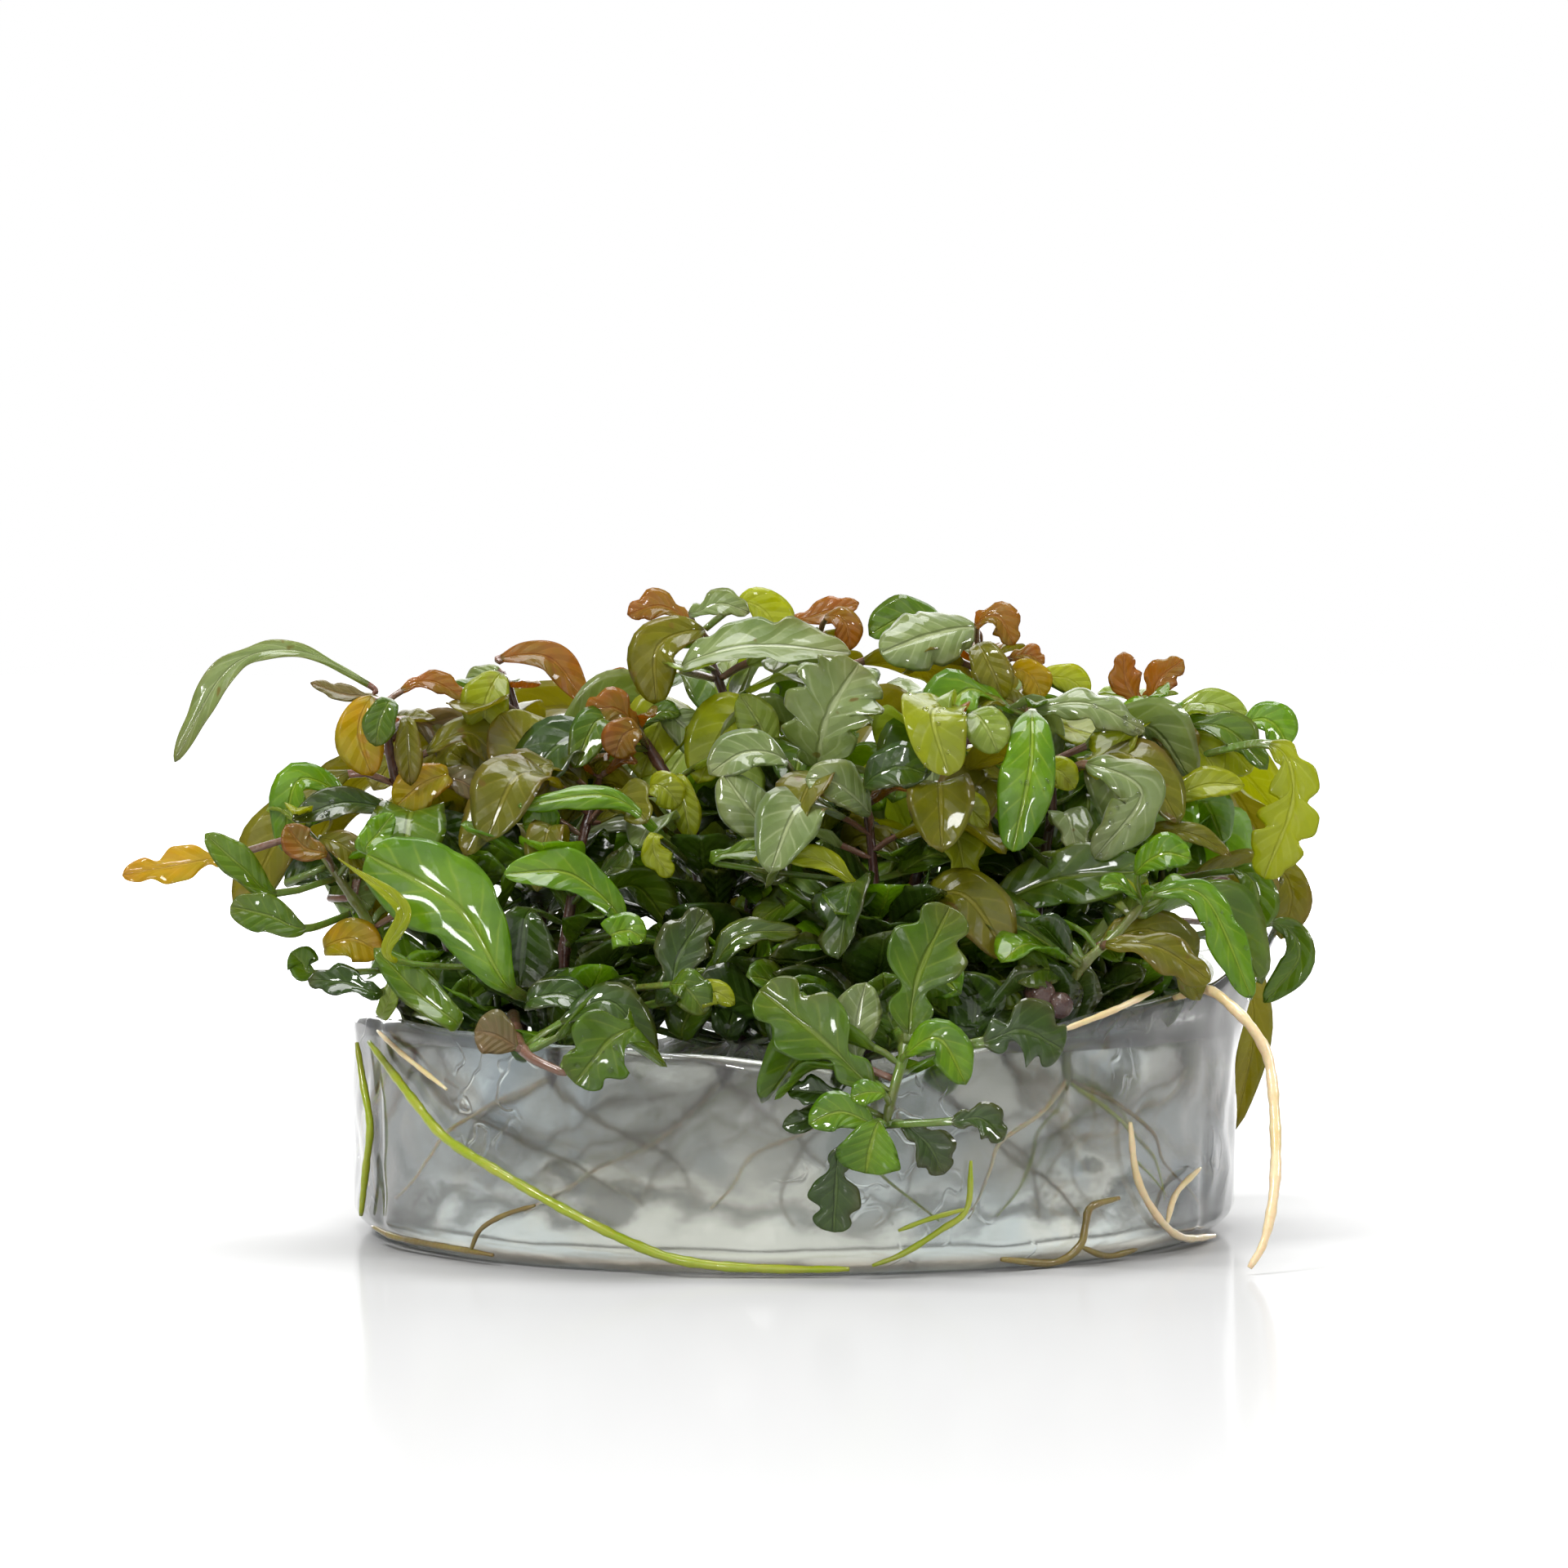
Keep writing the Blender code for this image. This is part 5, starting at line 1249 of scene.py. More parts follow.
@dataclass(frozen=True)
class Blade:
    """How a leaf's blade is cut and curved. Shares are of half its width."""

    lobes: int = 0
    cut: float = 0.0
    widest: float = 0.52
    fullness: float = 0.56
    cup: float = 0.18
    fold: float = 0.10
    wave: float = 0.07
    waves: float = 2.5
    sweep: float = 0.35
    uneven: float = 0.04
    wing: float = 0.07

    def outline(self, t: float) -> float:
        """Return the blade's width without its lobes, as a share of its full width."""
        bend = math.log(0.5) / math.log(self.widest)
        return math.sin(math.pi * t ** bend) ** self.fullness if 0 < t < 1 else 0.0

    def half_width(self, t: float, phase: float) -> float:
        """Find the blade's half width as a share of its full width.

        Args:
            t: Share of the blade's length.
            phase: A shift of the lobes, which keeps the two sides apart.

        Returns:
            Half the width.
        """
        width = 0.5 * self.outline(t)
        if self.lobes:
            notch = (0.5 - 0.5 * math.cos(2 * math.pi * (self.lobes * t + phase))) ** 3
            width *= 1 - self.cut * notch * min(1.0, 2.2 * (1 - t))
        wing = self.wing * (1 - 0.6 * abs(t) / 0.2) if t < 0 else self.wing * max(1 - t / 0.4, 0)
        return math.hypot(width * (1 + self.uneven * math.sin(13 * t + 9 * phase)), max(wing, 0.0))


def kept_inside(points: Array, shares: Array) -> Array:
    """Bend a leaf back where it stands out of the solids' box.

    Args:
        points: The leaf's points.
        shares: The share of the blade's length at each.

    Returns:
        The points, all within the box.
    """
    weight = np.clip(shares * 3 + 0.3, 0, 1)
    low, high = (np.array(corner) / MM for corner in solid_box)
    for axis in range(3):
        over = max(points[:, axis].max() - high[axis] + BOX_ROOM, 0.0)
        under = max(low[axis] + BOX_ROOM - points[:, axis].min(), 0.0)
        points[:, axis] += (under - over) * weight
    return points


class LeafBody:
    """One leaf as a thin closed shell from its stem to its tip."""

    THICKNESS = 0.13
    STALK_RADIUS = 0.24
    STALK_SHARE = 0.2
    GROOVE_DEPTH = 0.10
    GROOVE_WIDTH = 0.22
    RIB_WIDTH = 0.25

    def __init__(self, blade: Blade, rows: int, columns: int) -> None:
        """Keep how the leaf is cut and how finely it is drawn."""
        self.blade = blade
        self.rows = rows
        self.columns = columns

    def form(self, start: Array, path: list[Array], width: float, tilt: float,
             rng: Random) -> tuple[Array, Faces, Array]:
        """Draw the leaf.

        Args:
            start: Where its stalk leaves the stem.
            path: Its blade's points from foot to tip.
            width: The blade's full width.
            tilt: The angle of its upper side from straight up towards the viewer, in degrees.
            rng: The source of its small irregularities.

        Returns:
            Its points, its faces and its blade coordinates.
        """
        centres, shares = self.centre_line(start, path)
        lean = math.radians(tilt)
        upward = np.array([0.0, -math.sin(lean), math.cos(lean)])
        frames = faced_frames(centres, upward, len(centres) - self.rows + int(self.rows * 0.45))
        across = np.linspace(-1, 1, self.columns)
        wave_at = rng.uniform(0, 2 * math.pi, 2)
        twist = rng.uniform(-10, 10)
        uneven = rng.uniform(0.92, 1.06, 2)
        phases = (0.0, rng.uniform(0.02, 0.16))
        tops, bottoms, places = [], [], []
        for centre, t, (tangent, side, up) in zip(centres, shares, frames):
            turn = math.radians(twist) * max(t, 0) ** 1.5
            cosine, sine = math.cos(turn), math.sin(turn)
            side, up = side * cosine + up * sine, up * cosine - side * sine
            body = self.STALK_RADIUS * (1 - 0.75 * max(t, 0))
            sweep = self.blade.sweep * 0.5 * width * self.blade.outline(t)
            for v in across:
                hand = int(v > 0)
                edge = abs(v)
                grown = width * uneven[hand] * self.blade.half_width(t, phases[hand])
                half = math.hypot(body, grown)
                flat = min(grown / (3 * self.STALK_RADIUS), 1.0)
                wave = math.sin(2 * math.pi * self.blade.waves * t + wave_at[hand])
                rise = half * (self.blade.cup * edge ** 2 + self.blade.fold * edge) * flat
                rise += half * self.blade.wave * edge ** 2 * wave
                rise -= self.GROOVE_DEPTH * flat * math.exp(-(v * half / self.GROOVE_WIDTH) ** 2)
                ahead = sweep * edge ** 1.3 * flat * (1 - t) ** 0.5
                point = centre + side * v * half + up * rise + tangent * ahead
                round_body = body * math.sqrt(max(1 - v * v, 0.0))
                thick = flat * self.THICKNESS * (1 - edge ** 4) + (1 - flat) * round_body
                rib = flat * 0.6 * body * math.exp(-(v * half / self.RIB_WIDTH) ** 2)
                tops.append(point + up * thick)
                bottoms.append(point - up * (thick + rib))
                places.append((0.5 + 0.5 * v, t))
        points, faces, places = self.close(np.array(tops), np.array(bottoms), np.array(places), len(centres))
        return kept_inside(points, places[:, 1]), faces, places

    def centre_line(self, start: Array, path: list[Array]) -> tuple[Array, Array]:
        """Set out the leaf's rows.

        Args:
            start: Where its stalk leaves the stem.
            path: Its blade's points from foot to tip.

        Returns:
            The rows' middles, and their shares of the blade's length, below 0 on the stalk.
        """
        curve = smooth_path([start, *path])
        stalk_rows = max(self.rows // 6, 3)
        stalk = evenly(curve[:SPAN_STEPS + 1], np.linspace(0, 1, stalk_rows + 1)[:-1])
        blade = evenly(curve[SPAN_STEPS:], np.linspace(0, 1, self.rows))
        on_stalk = np.linspace(-self.STALK_SHARE, 0, stalk_rows + 1)[:-1]
        return np.vstack([stalk, blade]), np.concatenate([on_stalk, np.linspace(0, 1, self.rows)])

    def close(self, tops: Array, bottoms: Array, places: Array,
              rows: int) -> tuple[Array, Faces, Array]:
        """Join the upper and lower sides along the margin.

        Args:
            tops: The upper side's points, row by row.
            bottoms: The lower side's points, row by row.
            places: The blade coordinates of both.
            rows: How many rows there are.

        Returns:
            The shell's points, faces and blade coordinates.
        """
        wide = self.columns
        grid = np.arange(rows * wide).reshape(rows, wide)
        inner = grid[1:-1, 1:-1]
        below = grid.copy()
        below[1:-1, 1:-1] = rows * wide + np.arange(inner.size).reshape(inner.shape)
        faces = []
        for row in range(rows - 1):
            for column in range(wide - 1):
                faces.append((grid[row, column], grid[row, column + 1],
                              grid[row + 1, column + 1], grid[row + 1, column]))
                faces.append((below[row, column], below[row + 1, column],
                              below[row + 1, column + 1], below[row, column + 1]))
        margin = np.ones((rows, wide), bool)
        margin[1:-1, 1:-1] = False
        joined = tops.copy()
        joined[margin.ravel()] = (tops[margin.ravel()] + bottoms[margin.ravel()]) / 2
        chosen = inner.ravel()
        faces = [tuple(int(index) for index in face) for face in faces]
        return np.vstack([joined, bottoms[chosen]]), faces, np.vstack([places, places[chosen]])


PLAIN_BLADE = Blade()
LOBED_BLADE = Blade(lobes=2, cut=0.50, wave=0.10, sweep=0.45)

# Blades of the large leaves, as the front view shows them: their lobes and how deep these are cut,
# where they are widest, how full and how cupped they are, then what isn't as usual
BLADES: dict[str, Blade] = {
    "leaf_centre_silver": Blade(5, 0.34, 0.50, 0.46, 0.10, fold=0.16, wave=0.10, waves=4, sweep=0.55),
    "leaf_top_silver": Blade(3, 0.30, 0.45, 0.62, 0.25, fold=0.05, sweep=0.5),
    "leaf_right_silver": Blade(3, 0.18, 0.45, 0.50, -0.25, fold=0.1),
    "leaf_silver_fold": Blade(0, 0.0, 0.50, 0.45, -0.35, fold=0.2),
    "leaf_silver_arch": Blade(3, 0.25, 0.50, 0.55, -0.25, wave=0.12, waves=3),
    "leaf_grey_right": Blade(3, 0.25, 0.50, 0.50, -0.1, wave=0.12),
    "leaf_pale_hanging": Blade(0, 0.0, 0.60, 0.42, 0.25, fold=0.05),
    "leaf_long_hanging": Blade(0, 0.0, 0.52, 0.50, -0.12, wave=0.07, waves=4),
    "leaf_big_green": Blade(4, 0.06, 0.60, 0.46, -0.12, fold=0.08, wave=0.06),
    "leaf_left_arch": Blade(3, 0.30, 0.66, 0.55, 0.15, wave=0.10, waves=3),
    "leaf_far_left": Blade(2, 0.75, 0.50, 0.5, 0.1, wave=0.1),
    "leaf_mid_arch": Blade(2, 0.35, 0.60, 0.55, -0.3, wave=0.1),
    "leaf_right_lobed": Blade(4, 0.50, 0.52, 0.45, -0.05, sweep=0.5),
    "leaf_dark_wide": Blade(3, 0.15, 0.55, 0.52, 0.15),
    "leaf_three_lobed": Blade(2, 0.70, 0.55, 0.42, -0.1, sweep=0.3),
    "leaf_front_lobed": Blade(2, 0.60, 0.52, 0.42, 0.12, sweep=0.3),
    "leaf_olive_low": Blade(2, 0.35, 0.6, 0.5, -0.15),
    "sprig_leaf_tall": Blade(2, 0.62, 0.52, 0.45, 0.15, sweep=0.35),
    "sprig_leaf_left": Blade(2, 0.66, 0.58, 0.42, 0.1, sweep=0.4),
    "sprig_leaf_hanging": Blade(2, 0.62, 0.58, 0.45, 0.0, sweep=0.3),
    "leaf_olive_left": Blade(0, 0.0, 0.52, 0.50, -0.08),
    "leaf_yellow_curl": Blade(0, 0.0, 0.40, 1.4, 0.5, sweep=0.1),
    "leaf_round_left": Blade(0, 0.0, 0.55, 0.42, 0.1),
    "leaf_bright_drooping": Blade(3, 0.2, 0.55, 0.5, -0.15),
}


def plain_name(node: str) -> str:
    """Return a piece's name, in the order that a person says it, from its solid's."""
    for kind in ("rear_shoot", "sprig_leaf", "shoot", "root", "leaf"):
        if node.startswith(kind + "_"):
            return node.removeprefix(kind + "_") + "_" + kind
    return "dressed_" + node


class Garden:
    """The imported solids: where each piece stands, and what takes its place."""

    def __init__(self) -> None:
        """Read the solids and their finishes."""
        self.nodes = frame["nodes"]
        self.slot_of = {row["node"]: row["material_slot"] for row in frame["record"]["subparts"]}
        self.corners: dict[str, KDTree] = {}

    def has_point(self, node: str, point: Array) -> bool:
        """Return whether a solid has a corner at a point, in millimetres."""
        if node not in self.corners:
            vertices = self.nodes[node].data.vertices
            tree = KDTree(len(vertices))
            for vertex in vertices:
                tree.insert(vertex.co / MM, vertex.index)
            tree.balance()
            self.corners[node] = tree
        return self.corners[node].find(Vector(point))[2] < MATCH

    def first_standing(self, node: str, blades: Iterable[list[Array]]) -> list[Array] | None:
        """Return the first blade whose tip is a corner of a solid, or None."""
        return next((blade for blade in blades if self.has_point(node, blade[-1])), None)

    def settled(self, leaf: Leaf, node: str) -> list[Array] | None:
        """Find where a leaf of the plan stands in its solid.

        Args:
            leaf: The leaf.
            node: The solid that it is in.

        Returns:
            Its blade's points, or None if the solid doesn't have it.
        """
        shifts = (to_and_fro(step) * DEPTH_STEP for step in range(DEPTH_STEPS))
        return self.first_standing(node, (
            [from_picture(across, down, depth + shift) for across, down, depth in leaf.path]
            for shift in shifts
        ))

    def grown(self, node: str, stem: Array, leaves: int, first_turn: float,
              number: int) -> list[Array] | None:
        """Find where a spiral leaf stands in its solid.

        Args:
            node: The solid that it is in.
            stem: The stem's points.
            leaves: How many spiral leaves the stem has.
            first_turn: The direction of the first one.
            number: Which one this is.

        Returns:
            Its blade's points, or None if the solid doesn't have it.
        """
        turns = (to_and_fro(step) * TURN_STEP for step in range(TURN_STEPS))
        blades = (grown_blade(stem, leaves, first_turn, number, turn) for turn in turns)
        return self.first_standing(node, blades)

    def place(self, piece: bpy.types.Object, node: str) -> None:
        """Let a piece stand for a solid, and report it."""
        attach(piece, "root")
        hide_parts(node)
        LOG.info("%s stands for %s: %d faces", piece.name, node, len(piece.data.polygons))


@dataclass
class Slab:
    """The clear gel, cast in a round cup, with a lip that flares out at the right."""

    sides: int = 288
    wall_rows: int = 44
    top_rows: int = 22
    ripple: float = 0.10
    highest_rim: float = 24.95
    nick_depth: float = 0.12
    rim_edge: float = 0.3
    rounding: float = 0.30
    sag: float = 0.05
    # Hollows and swellings of the wall as (across, down, half width, half height, outwards)
    dents: tuple[tuple[float, ...], ...] = (
        (458, 1380, 9, 130, -0.30), (693, 1390, 10, 80, 0.16), (560, 1370, 90, 24, -0.16),
        (915, 1395, 40, 34, -0.18), (1265, 1335, 60, 34, 0.16), (1318, 1365, 22, 34, -0.26),
        (1342, 1438, 20, 16, 0.22), (1232, 1497, 24, 28, -0.22), (1310, 1515, 14, 14, 0.18),
        (1480, 1450, 14, 90, -0.24), (675, 1440, 10, 12, 0.14), (740, 1470, 70, 30, 0.10),
    )

    def build(self, garden: Garden) -> None:
        """Make the slab and dress it."""
        draft = Draft()
        points, faces = self.form()
        draft.add(points, faces, GEL)
        piece = draft.piece("clear_gel")
        garden.place(piece, "gel_slab")

    def dent(self, points: Array) -> Array:
        """Return how far the wall's dents and ripples move each point outwards."""
        turns = np.arctan2(points[:, 1], points[:, 0])
        heights = points[:, 2]
        moved = self.ripple * (
            0.5 * np.sin(11 * turns + 0.9 * heights) + 0.5 * np.sin(23 * turns - 0.5 * heights + 1.0)
            + 0.35 * np.sin(47 * turns + 1.7 * np.sin(heights * 0.8))
        )
        for across, down, wide, high, out in self.dents:
            middle = on_wall(across, down, 0.0)
            turn = math.atan2(middle[1], middle[0])
            aside = (turns - turn) * GEL_RADIUS * VIEW_SCALE / VIEW_DISTANCE / wide
            above = (heights - middle[2]) * VIEW_SCALE / VIEW_DISTANCE / high
            moved = moved + out * np.exp(-aside ** 2 - above ** 2)
        return moved

    def ring(self, angles: Array, radii: Array, heights: Array) -> Array:
        """Return a ring of points from its radii and heights."""
        turns = np.radians(angles)
        return np.column_stack([radii * np.cos(turns), radii * np.sin(turns), heights])

    def form(self) -> tuple[Array, Faces]:
        """Draw the underside, the wall, the rim and the dished top as one closed form."""
        angles = np.arange(self.sides) * 360.0 / self.sides - 180.0
        nicks = 1 + np.sin(np.radians(angles * 17)) * np.sin(np.radians(angles * 5))
        rims = np.array([rim_height(angle) for angle in angles])
        rims = np.minimum(rims, self.highest_rim) - self.nick_depth * nicks
        foot = np.array([wall_radius(angle, 0.0) for angle in angles])
        rings = [self.ring(angles, foot * share, np.zeros(self.sides)) for share in (0.3, 0.7, 0.93)]
        rings += self.wall(angles, rims) + self.inside(angles, rims)
        points = np.vstack([[0.0, 0.0, 0.0], *rings, [0.0, 0.0, GEL_TOP - self.sag]])
        wide, last = self.sides, len(points) - 1
        faces: Faces = []
        for side in range(wide):
            turned = (side + 1) % wide
            faces.append((0, 1 + turned, 1 + side))
            for row in range(len(rings) - 1):
                start, after = 1 + row * wide, 1 + (row + 1) * wide
                faces.append((start + side, start + turned, after + turned, after + side))
            start = 1 + (len(rings) - 1) * wide
            faces.append((start + side, start + turned, last))
        return points, faces

    def wall(self, angles: Array, rims: Array) -> list[Array]:
        """Return the rings of the dented wall, from the table to the rounded rim."""
        rings = []
        for row in range(self.wall_rows + 1):
            share = (row / self.wall_rows) ** 1.25
            heights = rims * share
            radii = np.array([wall_radius(angle, height) for angle, height in zip(angles, heights)])
            round_off = self.rounding * max((share - 0.96) / 0.04, 0) ** 2
            moved = self.dent(self.ring(angles, radii, heights)) * min(share * 12, 1) - round_off
            rings.append(self.ring(angles, radii + moved, heights))
        return rings

    def inside(self, angles: Array, rims: Array) -> list[Array]:
        """Return the rings inside the rim: down its inner side, then inwards over the dished top."""
        walls = np.array([wall_radius(angle, height) for angle, height in zip(angles, rims)])
        inner = np.minimum(walls - RIM_THICKNESS - 0.8, GEL_RADIUS - 1.8)
        outer = walls - self.rim_edge
        floors = np.minimum(GEL_TOP, rims - 0.6)
        rings = [
            self.ring(angles, outer - (outer - inner) * part, rims - (rims - floors) * part ** 1.5)
            for part in (0.35, 0.7, 1.0)
        ]
        for row in range(1, self.top_rows):
            share = 1 - row / self.top_rows
            points = self.ring(angles, inner * share, floors * share + GEL_TOP * (1 - share))
            swell = 0.05 * np.sin(0.23 * points[:, 0] + 1) * np.sin(0.19 * points[:, 1]) * (1 - share ** 6)
            points[:, 2] += swell
            points[:, 2] -= self.sag
            rings.append(points)
        return rings


@dataclass
class Stem:
    """A stem: a tapering tube with a slight swelling at each pair of leaves."""

    sides: int = 12
    rows: int = 64
    swelling: float = 0.22
    joint_step: float = 5.2
    thinner: Span = (0.85, 0.8)
    foot_taper: Point = (0.15, 0.45, 0.7, 0.9)
    tip_taper: Point = (0.85, 0.6, 0.3)
    widths: dict[str, float] = field(default_factory=lambda: {"shoot_thick": 1.5, "shoot_brown_fork": 1.25})

    def form(self, name: str, points: Array) -> tuple[Array, Faces]:
        """Draw a stem along its points."""
        path = evenly(smooth_path(points), np.linspace(0, 1, self.rows))
        length = np.linalg.norm(np.diff(path, axis=0), axis=1).sum()
        along = np.linspace(0, 1, self.rows)
        ends = (STEM_FOOT * self.thinner[0], STEM_TOP * self.thinner[1])
        radii = np.interp(along, (0, 1), ends) * self.widths.get(name, 1.0)
        joints = np.cos(2 * math.pi * along * length / self.joint_step)
        radii *= 1 + self.swelling * np.maximum(joints, 0) ** 8
        radii[:len(self.foot_taper)] *= self.foot_taper
        radii[-len(self.tip_taper):] *= self.tip_taper
        return tube(path, radii, self.sides)


@dataclass(frozen=True)
class Growth:
    """A kind of small leaf that fills in a shoot, with the ranges that its measures are drawn from.

    Widths and rises are shares of the leaf's length, tilts are in degrees, and the rest is in millimetres.
    A middling leaf droops by its rise.
    """

    count: int
    length: Span
    width: Span
    tilt: Span
    tints: tuple[Tint, ...] = ()
    stalk: Span = (0.0, 0.0)
    lift: Span = (0.0, 0.0)
    arch: Span = (0.0, 0.0)
    rise: Span = (0.0, 0.0)


# Mostly dark tints: painted shade round the feet of the stems
LOW_LEAVES = Growth(33, (5.0, 10.0), (0.45, 0.65), (-60, 70),
                    (DARK, DARK, GREEN, DARK, BRIGHT),
                    stalk=(1.0, 2.2), lift=(0.4, 1.4), arch=(0.2, 1.2), rise=(-0.25, 0.65))
# Dark tints: painted shade just behind the slab's rim
RIM_LEAVES = Growth(7, (4.5, 7.5), (0.55, 0.75), (50, 80), (DARK, DARK, GREEN), lift=(0.5, 1.2))
MIDDLE_LEAVES = Growth(8, (6.5, 10.5), (0.42, 0.58), (-45, 60),
                       stalk=(1.6, 3.0), lift=(0.6, 2.0), arch=(0.2, 1.8), rise=(0.1, 0.5))
CROWN_LEAVES = Growth(4, (2.6, 4.6), (0.55, 0.55), (-30, 50))
CREEPING_STALK = (2.0, 9.0)
# How finely the leaves on the gel are drawn, as a share of the others
UNDERGROWTH_FINENESS = 0.7
# Shares of the blade's length where its middle and its tip are set
HALF_WAY = 0.45
TIP_REACH = 0.85
# Keeps the rim leaves' random draws apart from the stems' own
RIM_SEED = 500
GEL_ROOT_TINTS = (ROOT_OLIVE, ROOT_CREAM, ROOT_GREEN)
YOUNG_TINTS = (COPPER, OLIVE, GREEN)
PALE_YOUNG_TINTS = (PALE, BRIGHT, YELLOW)


@dataclass
class LeafyShoot:
    """A stem with all the small leaves that grow from it."""

    name: str
    points: Array
    tint: Tint
    stem: Stem
    seed: int
    rows: int = 18
    columns: int = 9
    gel_roots: int = 3
    gel_root_bends: int = 5
    gel_root_ends: Span = (1.5, 5.0)
    gel_root_radii: Span = (0.22, 0.08)

    def __post_init__(self) -> None:
        """Start with an empty draft and the shoot's own random draws."""
        self.draft = Draft()
        self.rng = np.random.default_rng(self.seed)

    def build(self, garden: Garden, leaves: tuple[Leaf, ...], spiral: tuple[int, float]) -> None:
        """Make the stem with its leaves and dress it.

        Args:
            garden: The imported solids.
            leaves: The leaves of the plan that belong to it.
            spiral: How many spiral leaves it has, and the direction of the first.
        """
        self.draft.add(*self.stem.form(self.name, self.points), STEM_FINISHES[self.tint])
        self.add_plan_leaves(garden, leaves)
        self.add_spiral_leaves(garden, *spiral)
        hangs = self.name in OVER_THE_RIM
        in_gel = self.points[0][2] < GEL_TOP
        if in_gel:
            self.add_gel_roots()
        if not hangs:
            self.add_low_leaves()
        self.add_middle_leaves()
        if not hangs:
            self.add_crown()
        if in_gel and self.points[0][1] < RIM_LEAF_LINE:
            self.add_rim_leaves()
        garden.place(self.draft.piece(plain_name(self.name)), self.name)

    def add_leaf(self, cut: Blade, blade: list[Array], width: float, tilt: float, tint: Tint,
                 fineness: float = 1.0) -> None:
        """Add one leaf, from its stem along its blade's points."""
        body = LeafBody(cut, int(self.rows * fineness), int(self.columns * fineness) // 2 * 2 + 1)
        start = attach_point(self.points, blade[0], False)
        points, faces, places = body.form(start, blade, width, tilt, self.rng)
        self.draft.add_leaf(points, faces, places, tint)

    def spiral_tint(self, point: Array) -> Tint:
        """Pick a colour by place: dark low down, which paints the shade under the canopy, then olive, silvery
        or yellow-green from left to right, the silvery ones a painted sheen of the top light.
        """
        # Low down, dark tints paint the shade; high up, silvery tints paint the sheen of the top light
        if point[2] < 24:
            tints = (DARK, DARK, GREEN, DARK, GREEN, BRIGHT)
        elif point[2] < 31:
            tints = (GREEN, DARK, GREEN, BRIGHT, OLIVE, GREEN)
        elif point[0] < -12:
            tints = (OLIVE, OLIVE, OLIVE, GREEN, SILVER, DARK)
        elif point[0] < 12:
            tints = (SILVER, OLIVE, GREEN, SILVER, YELLOW, PALE)
        else:
            tints = (YELLOW, OLIVE, SILVER, GREEN, OLIVE, BRIGHT)
        return pick(self.rng, tints)

    def add_plan_leaves(self, garden: Garden, leaves: tuple[Leaf, ...]) -> None:
        """Add the plan's small leaves where they stand in the shoot's solid."""
        for leaf in leaves:
            blade = None if leaf.name else garden.settled(leaf, self.name)
            if blade is not None:
                cut = LOBED_BLADE if leaf.form is LOBED else PLAIN_BLADE
                fuller = FULLER_LOBED if leaf.form is LOBED else FULLER_PLAIN
                self.add_leaf(cut, blade, leaf.width * fuller, leaf.tilt, leaf.tint)
            elif not leaf.name:
                LOG.info("%s lacks a leaf of the plan", self.name)

    def add_spiral_leaves(self, garden: Garden, count: int, first_turn: float) -> None:
        """Add the leaves that are set in a spiral where they stand in the shoot's solid."""
        for number in range(count):
            blade = garden.grown(self.name, self.points, count, first_turn, number)
            if blade is not None:
                lean = GROWN_LEAN if number % 2 else -GROWN_LEAN
                self.add_leaf(PLAIN_BLADE, blade, GROWN_WIDTH, lean, self.spiral_tint(blade[1]))

    def add_gel_roots(self) -> None:
        """Add the fine roots that wander down through the gel from the stem's foot."""
        rng, foot = self.rng, self.points[0]
        for _ in range(self.gel_roots):
            angle = rng.uniform(-math.pi, math.pi)
            path = [foot + upwards(0.8)]
            for height in np.linspace(foot[2] - 1.5, rng.uniform(*self.gel_root_ends), self.gel_root_bends):
                angle += rng.uniform(-0.7, 0.7)
                point = path[-1] + outwards(angle) * rng.uniform(1.5, 5.0)
                point[:2] *= min(1.0, (GEL_RADIUS - 2.0) / np.hypot(*point[:2]))
                path.append(np.array([point[0], point[1], height]))
            curve = smooth_path(path)[::3]
            radii = np.linspace(*self.gel_root_radii, len(curve))
            finish = STEM_FINISHES[pick(rng, GEL_ROOT_TINTS)]
            self.draft.add(*tube(curve, radii, 8), finish)

    def add_low_leaves(self) -> None:
        """Add the small leaves that crowd round the foot of the stem, mostly in dark tints that paint the
        shade there.
        """
        kind, rng, stem = LOW_LEAVES, self.rng, self.points
        for number in range(kind.count):
            creeping = number % 3 == 0
            share = rng.uniform(0.02, 0.08) if creeping else 0.02 + 0.55 * rng.uniform() ** 1.5
            start = evenly(stem[1:], (share,))[0]
            angle = number * GOLDEN_TURN + rng.uniform(-0.4, 0.4)
            if creeping or number % 2:
                angle = math.copysign(math.pi / 2, stem[0][1]) + rng.uniform(-1.35, 1.35)
            outward = outwards(angle)
            length = rng.uniform(*kind.length)
            rise = rng.uniform(*kind.rise) * length
            stalk = rng.uniform(*(CREEPING_STALK if creeping else kind.stalk))
            foot = start + outward * stalk + upwards(rng.uniform(*kind.lift))
            middle = foot + outward * length * 0.5 + upwards(0.5 * rise + rng.uniform(*kind.arch))
            tip = foot + outward * length * TIP_REACH + upwards(rise)
            if np.hypot(*tip[:2]) > GEL_RADIUS - 1.0:
                continue
            middle[2], tip[2] = max(middle[2], GEL_TOP + 1.5), max(tip[2], GEL_TOP + 0.8)
            tint = pick(rng, kind.tints)
            self.add_leaf(PLAIN_BLADE, [foot, middle, tip], length * rng.uniform(*kind.width),
                          rng.uniform(*kind.tilt), tint, UNDERGROWTH_FINENESS)

